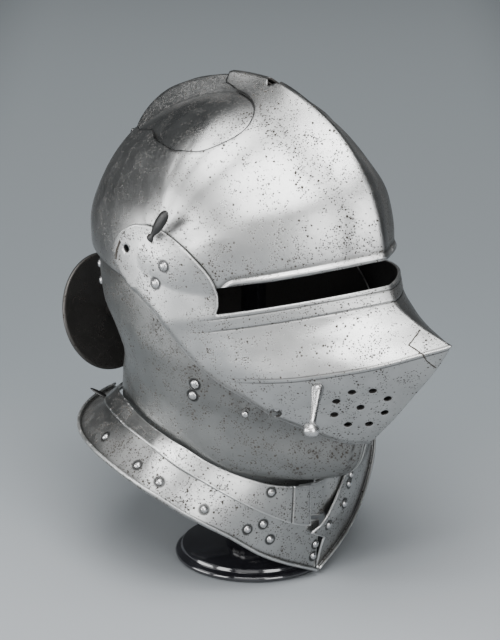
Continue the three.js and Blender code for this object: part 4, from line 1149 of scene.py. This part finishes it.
# Visor.
def shape_of(plates):
    """The plates as one surface that a ray can be cast at, in millimetres."""
    points, faces = [], []
    for piece in plates:
        first = len(points)
        points += [v.co / MM for v in piece.data.vertices]
        faces += [[first + v for v in polygon.vertices] for polygon in piece.data.polygons]
    return BVHTree.FromPolygons(points, faces)


cheek_shape = shape_of(cheek_plates)
arm_spots = spots(visor_point, ARM_RIVETS) + spots(visor_point, ARM_RIVETS, -1)
# Rows lie closer together where a line or a step is cut.
line_levels = [169.6, 170.0, 170.4, 170.8, 171.2, 171.7, 177.2, 177.6, SIGHT_LINE, 178.4, 178.8, 242]
crease_levels = [139.2, 139.7, 140.1, 140.5, 140.9, 141.6, CREASE, 142.9, 143.2, 143.5, 143.9, 144.4]
visor_levels = np.unique(np.round(np.r_[
    spread(lambda a: visor_point(a, 30.0), [72, crease_levels[0], CREASE, line_levels[0]], 1.5),
    spread(lambda a: visor_point(a, 75.0), line_levels, 1.5),
    spread(lambda a: visor_point(a, 75.0), crease_levels, 1.5)], 4))
half_angles = spread(lambda b: visor_point(130.0, b), [0, 106], 1.6)
visor_angles = np.r_[-half_angles[:0:-1], half_angles]
finished(plate("visor_shell", visor_point, visor_levels, visor_angles, VISOR_THICKNESS, visor_steel,
               keep=visor_keep, relief=visor_relief, rivets=[s[0] for s in arm_spots], bores=visor_holes,
               centre=(0, 0, 160), grime=visor_grime, lines=visor_line_shade), VISOR_BODY, "visor")

# Gorget.
lame_spots = {
    "right": spots(lower_face, SIDE_RIVETS + RIGHT_RIVETS),
    "left": spots(lower_face_left, SIDE_RIVETS + LEFT_RIVETS, -1)}
top_spot = spot(upper_face, *UPPER_RIVET)
upper_t = np.linspace(-1, 0, 22)
lower_t = np.r_[np.linspace(-1, 0, 18)[:-1], np.linspace(0, 1, 24)[:-1], np.linspace(1, 1 + RIM_TURN, 12)]
STEP_ANGLE = 17.6


def round_neck(start, end):
    return spread(lambda b: gorget_point(0.5, b), [start, end], 1.8)


def lame(name, face, t_values, angles, node, keep=None, rivets=(), step=999.0):
    """One lame; step is the angle of a line cut across it, if it has one."""
    def relief(p, t, angle, out):
        return hammer(p, 0.06) * (t < 1) + groove(angle, step, 0.5, 0.45)

    # Painted shade in the line cut across the lame and along the bend of the rolled rim.
    def lines(p, t, angle):
        return np.clip(peak(angle, step, 0.4) + 0.8 * peak(t, 1 + RIM_TURN * 0.1, 0.02), 0, 1)

    finished(plate(name, face, t_values, angles, LAME_THICKNESS, lame_steel, keep=keep, relief=relief,
                   rivets=rivets, centre=(0, 0, 40), grime=rim_grime, lines=lines), HELMET, node)


def upper_left_keep(p, t, angle):
    return (-0.2 - t + np.maximum(0, -3 - angle) * 0.1) * 20


def lower_left_keep(p, t, angle):
    return np.where(p[..., 1] > 0, 20, in_lap(p[..., 0], p[..., 2]))


step_angles = np.linspace(STEP_ANGLE - 1.2, STEP_ANGLE + 1.2, 9)
lame("upper_lame_right", upper_face, upper_t, np.unique(np.r_[round_neck(7.5, 175), step_angles]),
     "gorget_upper_right", rivets=[top_spot[0]], step=STEP_ANGLE)
lame("upper_lame_left", upper_face_left, upper_t, round_neck(13, -175), "gorget_upper_left",
     keep=upper_left_keep)
lame("lower_lame_right", lower_face, lower_t, round_neck(0.6, 175), "gorget_lower_right",
     rivets=[s[0] for s in lame_spots["right"]])
lame("lower_lame_left", lower_face_left, lower_t, round_neck(10, -175), "gorget_lower_left",
     keep=lower_left_keep, rivets=[s[0] for s in lame_spots["left"]])


# Rivets, one mesh for each body.
def rivet_tree():
    """Domed rivet heads on points that carry a direction and a radius."""
    group = bpy.data.node_groups.new("rivet_heads", "GeometryNodeTree")
    given_names = {"Places": "Geometry", "Height": "Float", "Sides": "Int", "Steel": "Material"}
    for name, kind in given_names.items():
        group.interface.new_socket(name=name, in_out="INPUT", socket_type="NodeSocket" + kind)
    group.interface.new_socket(name="Heads", in_out="OUTPUT", socket_type="NodeSocketGeometry")
    given, result = group.nodes.new("NodeGroupInput").outputs, group.nodes.new("NodeGroupOutput").inputs
    dome = add_node(group, "GeometryNodeMeshUVSphere", Segments=given["Sides"], Rings=14,
                    Radius=1.0).outputs
    outward, radius = (
        add_node(group, "GeometryNodeInputNamedAttribute", data_type=kind, Name=name).outputs[0]
        for name, kind in (("out", "FLOAT_VECTOR"), ("head_radius", "FLOAT")))
    turn = add_node(group, "FunctionNodeAlignRotationToVector", axis="Z", Vector=outward).outputs[0]
    size = add_node(group, "ShaderNodeCombineXYZ", X=radius, Y=radius, Z=given["Height"]).outputs[0]
    points = add_node(group, "GeometryNodeMeshToPoints", Mesh=given["Places"]).outputs[0]
    heads = add_node(group, "GeometryNodeInstanceOnPoints", Points=points, Instance=dome["Mesh"],
                     Rotation=turn, Scale=size).outputs[0]
    real = add_node(group, "GeometryNodeRealizeInstances", Geometry=heads).outputs[0]
    soft = add_node(group, "GeometryNodeSetShadeSmooth", Geometry=real).outputs[0]
    coat = add_node(group, "GeometryNodeSetMaterial", Geometry=soft, Material=given["Steel"]).outputs[0]
    feed(group, result["Heads"], coat)
    return group


rivet_heads = rivet_tree()


def rivets(name, places, body, nodes):
    """places: (point, outward direction, radius) in millimetres."""
    mesh = bpy.data.meshes.new(name + "_places")
    mesh.from_pydata([tuple(p * MM) for p, _, _ in places], [], [])
    mesh.attributes.new("out", "FLOAT_VECTOR", "POINT").data.foreach_set(
        "vector", np.array([o for _, o, _ in places], np.float32).ravel())
    mesh.attributes.new("head_radius", "FLOAT", "POINT").data.foreach_set(
        "value", np.array([r * MM for _, _, r in places], np.float32))
    carrier = bpy.data.objects.new(name + "_places", mesh)
    bpy.context.scene.collection.objects.link(carrier)
    modifier = carrier.modifiers.new("heads", "NODES")
    modifier.node_group = rivet_heads
    settings = {"Height": RIVET_HEIGHT * MM, "Sides": 28, "Steel": fitting_steel}
    for item in rivet_heads.interface.items_tree:
        if item.name in settings:
            modifier[item.identifier] = settings[item.name]
    bpy.context.view_layer.update()
    view = bpy.context.evaluated_depsgraph_get()
    solid = bpy.data.meshes.new_from_object(carrier.evaluated_get(view))
    carrier.modifiers.clear()
    bpy.data.objects.remove(carrier)
    solid.name = name
    piece = bpy.data.objects.new(name, solid)
    bpy.context.scene.collection.objects.link(piece)
    finished(piece, body, *nodes)


helmet_places, helmet_nodes = [], []
for side, sign in (("right", 1), ("left", -1)):
    for n, (p, out) in enumerate(spots(neck_point, CHEEK_RIVETS, sign)):
        helmet_places.append((p, out, RIVET_RADIUS))
        helmet_nodes.append(f"cheek_rivet_{side}_{n + 1}")
    for n, (p, out) in enumerate(lame_spots[side]):
        helmet_places.append((p, out, LAME_RIVET_RADIUS))
        helmet_nodes.append(f"gorget_rivet_{side}_{n + 1}")
helmet_places.append((*top_spot, LAME_RIVET_RADIUS))
helmet_nodes.append("gorget_rivet_top")
rivets("helmet_rivets", helmet_places, HELMET, helmet_nodes)
rivets("visor_arm_rivets", [(p, out, RIVET_RADIUS) for p, out in arm_spots], VISOR_BODY,
       [f"arm_rivet_{side}_{n}" for side in ("right", "left") for n in (1, 2)])

# Lifting peg, leaf-headed pins, pivots, catch and stud; each profile is a row of (radius, height).
PEG_SPOT, PEG_ALONG, PEG_SINK = (131.5, 51.8), (-0.52, -0.28, -0.81), 5
PEG = [(0.01, 0), (4.2, 0), (4.1, 5), (3.8, 8), (2.9, 13), (2.4, 19), (2.2, 25), (2.3, 27), (3.4, 27.8),
       (4.6, 28.6), (5.0, 30.5), (4.8, 33), (3.8, 34.6), (2, 35.3), (0.01, 35.5)]
PIN = dict(x=95.4, y=-1.0, z=238.5)
PIN_LEAN = {"right": (0, -0.6, 0.8), "left": (0, 0.1, 0.995)}
LEAF = [(0.01, 0), (2.3, 0), (2.6, 0.6), (2.6, 2.4), (1.9, 3.6), (1.6, 5), (2.3, 7.5), (3.2, 10.5),
        (3.7, 14), (3.8, 18), (3.5, 22), (2.6, 24.9), (1.3, 26.2), (0.01, 26.5)]
CHEEK_STUD = [(0.01, 0), (2.2, 0), (2.2, 4.5), (1.3, 5.5), (0.01, 5.5)]
CHEEK_STUD_SPOT, CHEEK_STUD_GAP = (144.6, 57), 0.2

peg_foot, peg_out = spot(visor_point, *PEG_SPOT)
peg_along = unit(np.array(PEG_ALONG))
finished(turned("visor_peg", PEG, peg_foot - peg_along * PEG_SINK, peg_along, fitting_steel,
                cut_below=(peg_foot + peg_out * 0.1, peg_out)), VISOR_BODY, "lifting_peg")
length = PIVOT["outer"] - PIVOT["inner"]
PIVOT_STUD = [(0.01, 0), (1.7, 0), (2.0, 0.4), (2.0, length - 0.4), (1.8, length), (1.1, length),
              (0.7, length - 0.9), (0.01, length - 1)]
for side, sign in (("right", -1), ("left", 1)):
    finished(turned(f"leaf_pin_{side}", LEAF, (sign * PIN["x"], PIN["y"], PIN["z"]), PIN_LEAN[side],
                    leaf_steel, flat=0.45), VISOR_BODY, f"hinge_pin_{side}")
    finished(turned(f"pivot_stud_{side}", PIVOT_STUD, (sign * PIVOT["inner"], PIVOT["y"], PIVOT["z"]),
                    (sign, 0, 0), fitting_steel, sides=24), HELMET, f"pivot_{side}")
catch_low, catch_high = (np.array(corner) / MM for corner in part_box("catch_stud"))
catch_out = spot(visor_point, CATCH["level"], CATCH["angle"])[1]
catch_length = np.dot(catch_high - catch_low, np.abs(catch_out)) / 2
catch_profile = [(0.01, 0), (CATCH["radius"], 0), (CATCH["radius"], catch_length), (0.01, catch_length)]
catch_foot = (catch_low + catch_high) / 2 - catch_out * catch_length / 2
finished(turned("spring_catch", softened(catch_profile), catch_foot, catch_out, fitting_steel, sides=28),
         HELMET, "catch_stud")
stud_point, stud_out = spot(neck_point, *CHEEK_STUD_SPOT)
finished(turned("cheek_side_stud", softened(CHEEK_STUD), stud_point + stud_out * CHEEK_STUD_GAP, stud_out,
                fitting_steel, sides=28), HELMET, "cheek_stud")

# A small pointed tongue that stands out behind, at the seam between the right lames.
TONGUE = [(0.01, -2), (1.5, -1.5), (2.0, 1), (2.1, 4), (1.6, 8), (0.7, 10.6), (0.01, 11.2)]
TONGUE_SPOT, TONGUE_ALONG, TONGUE_THIN = (0.12, 148.0), (-0.45, 0.82, 0.46), (0, -0.5, 0.87)
finished(turned("rear_tongue", TONGUE, gorget_point(*TONGUE_SPOT), TONGUE_ALONG, leaf_steel, flat=0.4,
                thin_along=TONGUE_THIN), HELMET)

# Rondel and stem.
RONDEL = dict(radius=40.3, y=137.1, z=138.7, tilt=math.radians(15.8), stem=3.4)
rondel_back = np.array([0, math.cos(RONDEL["tilt"]), -math.sin(RONDEL["tilt"])])
rondel_centre = np.array([0, RONDEL["y"], RONDEL["z"]])
r = RONDEL["radius"]
RONDEL_PROFILE = [
    (0.01, 0), (r * 0.5, -0.6), (r - 3, -2.3), (r - 1.6, -2.4), (r - 0.5, -2.2), (r, -1.4), (r, -0.4),
    (r - 0.5, 0.2), (r - 2, 0.4), (r * 0.5, 1.4), (0.01, 1.8)]
finished(turned("rondel_disc", RONDEL_PROFILE, rondel_centre, rondel_back, rondel_shaded_steel, sides=96),
         HELMET, "rondel")
stem_low, stem_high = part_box("rondel_stem")
stem_length = (stem_high.y - stem_low.y) / MM
r, h = RONDEL["stem"], stem_length - 1
finished(turned("rondel_stalk", [(0.01, 0), (r, 0), (r, h), (0.01, h)],
                rondel_centre - rondel_back * (h + 2.5), rondel_back, rondel_shaded_steel, sides=32),
         HELMET, "rondel_stem")

# Stand.
BASE = dict(radius=52.0, thickness=8.5)
POST = dict(hub=18.5, hub_top=26.0, radius=8.0, pad=20.0, top=307.5)
POST_GAP = 0.3
r, h = BASE["radius"], BASE["thickness"]
BASE_PROFILE = [
    (0.01, 0), (r - 3, 0), (r - 1.4, 0.5), (r - 0.4, 1.4), (r, 2.6), (r - 0.4, 3.8), (r - 1.4, 4.6),
    (r - 3, 5.1), (r - 3.9, 5.6), (r - 4.2, 6.6), (r - 4.6, 8.1), (r - 5.2, h), (0.01, h)]
finished(turned("stand_disc", BASE_PROFILE, (0, 0, 0), (0, 0, 1), stand_black, sides=128),
         HELMET, "stand_base")
foot = h + POST_GAP
hub, hub_top, r, pad, top = POST["hub"], POST["hub_top"], POST["radius"], POST["pad"], POST["top"] - foot
POST_PROFILE = [
    (0.01, 0), (hub, 0), (hub, hub_top - 2), (hub - 1.5, hub_top), (r, hub_top + 12), (r, top - 6),
    (pad - 1, top - 4), (pad, top - 3), (pad - 0.5, top), (0.01, top)]
finished(turned("stand_column", POST_PROFILE, (0, 0, foot), (0, 0, 1), stand_black, sides=64),
         HELMET, "stand_post")

# Body of each piece, and the nodes that it stands for hidden.
for piece, body, nodes in pieces:
    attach(piece, body)
    if nodes:
        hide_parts(*nodes)

# A pale paper floor with painted light and shade: its middle is painted a little darker behind the object,
# and its sides are painted dark as shade.
FLOOR_NEAR, FLOOR_MID_SHADE, FLOOR_FAR = (0.40, 0.42, 0.44), (0.265, 0.295, 0.315), (0.385, 0.425, 0.45)
FLOOR_SIDE_SHADE = (0.03, 0.032, 0.035)
FLOOR_HALF, FLOOR_LEVEL = 4.0, -0.0002
VIEW_TURN = math.radians(47.0)


def paper_material():
    paper, tree, shader, place = new_material("pale_paper")
    along_view = add_node(tree, "ShaderNodeMapping", Rotation=(0, 0, VIEW_TURN), Vector=place).outputs[0]
    axes = add_node(tree, "ShaderNodeSeparateXYZ", Vector=along_view).outputs
    # Painted shade: the floor darkens from the front towards its middle, then lightens further back.
    colour = blend_colour(tree, between(tree, axes["Y"], -0.35, 0.45), FLOOR_NEAR, FLOOR_MID_SHADE)
    colour = blend_colour(tree, between(tree, axes["Y"], 0.5, 1.8), colour, FLOOR_FAR)
    # Painted shade at the floor's sides.
    beside = between(tree, number(tree, "ABSOLUTE", axes["X"]), 0.24, 0.5)
    beside = number(tree, "MULTIPLY", beside, between(tree, axes["Y"], -0.2, 0.3))
    colour = blend_colour(tree, number(tree, "MULTIPLY", beside, 0.85), colour, FLOOR_SIDE_SHADE)
    feed(tree, shader["Base Color"], colour)
    shader["Roughness"].default_value = 0.9
    return paper


floor_mesh = bpy.data.meshes.new("paper_floor")
floor_corners = [(x * FLOOR_HALF, y * FLOOR_HALF, FLOOR_LEVEL)
                 for x, y in ((-1, -1), (1, -1), (1, 1), (-1, 1))]
floor_mesh.from_pydata(floor_corners, [], [(0, 1, 2, 3)])
floor_mesh.materials.append(paper_material())
paper_floor = bpy.data.objects.new("paper_floor", floor_mesh)
bpy.context.scene.collection.objects.link(paper_floor)
paper_floor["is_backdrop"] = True

# Light: name, turn in degrees from the viewer's side towards the face, rise in degrees from the floor,
# size, glow and distance.
VIEW_SIDE = -137.0
LIGHT_CENTRE = Vector((0, -0.02, 0.2))
SOFTBOXES = [
    ("high_softbox", -4, 57, (1.9, 1.1), 10.2, 2.6),
    ("top_softbox", 2, 80, (1.3, 1.3), 4.6, 2.2),
    ("side_softbox", -80, -2, (0.5, 0.4), 7.4, 1.0),
    ("left_softbox", -48, 14, (0.9, 1.5), 7.4, 2.6),
    ("soft_fill", -88, 42, (0.8, 0.7), 2.4, 1.8),
    ("front_softbox", 29, 12, (1.1, 1.8), 6.8, 2.6),
    ("viewer_softbox", -10, 16, (1.7, 1.5), 1.1, 2.7)]
for name, turn, rise, size, glow, distance in SOFTBOXES:
    around, up = math.radians(VIEW_SIDE + turn), math.radians(rise)
    towards = Vector((math.cos(around) * math.cos(up), math.sin(around) * math.cos(up), math.sin(up)))
    lamp = bpy.data.lights.new(name, "AREA")
    lamp.shape = "RECTANGLE"
    lamp.size, lamp.size_y = size
    lamp.energy = glow * math.pi * size[0] * size[1]
    holder = bpy.data.objects.new(name, lamp)
    holder.location = LIGHT_CENTRE + towards * distance
    holder.rotation_euler = towards.to_track_quat("Z", "Y").to_euler()
    bpy.context.scene.collection.objects.link(holder)
world = bpy.data.worlds.new("studio_air")
bpy.context.scene.world = world
world.use_nodes = True
air = world.node_tree.nodes["Background"].inputs
air["Color"].default_value = (0.9, 0.96, 1.0, 1)
air["Strength"].default_value = 0.06

# Camera: 47 degrees round to the wearer's right of the face and 18.5 degrees up.
CAMERA_PLACE, CAMERA_ALONG, CAMERA_LENS = (-1.2141, -1.1290, 0.7178), (0.6936, 0.6468, -0.3173), 151.9
camera_data = bpy.data.cameras.new("camera")
camera_data.sensor_fit = "VERTICAL"
camera_data.sensor_height = 36.0
camera_data.lens = CAMERA_LENS
camera = bpy.data.objects.new("camera", camera_data)
camera.location = CAMERA_PLACE
camera.rotation_euler = Vector(CAMERA_ALONG).normalized().to_track_quat("-Z", "Y").to_euler()
bpy.context.scene.collection.objects.link(camera)
bpy.context.scene.camera = camera


def corners(box):
    return [list(map(float, corner)) for corner in box]


dressed_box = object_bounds()
{"cad": corners(cad_box), "dressed": corners(dressed_box)}
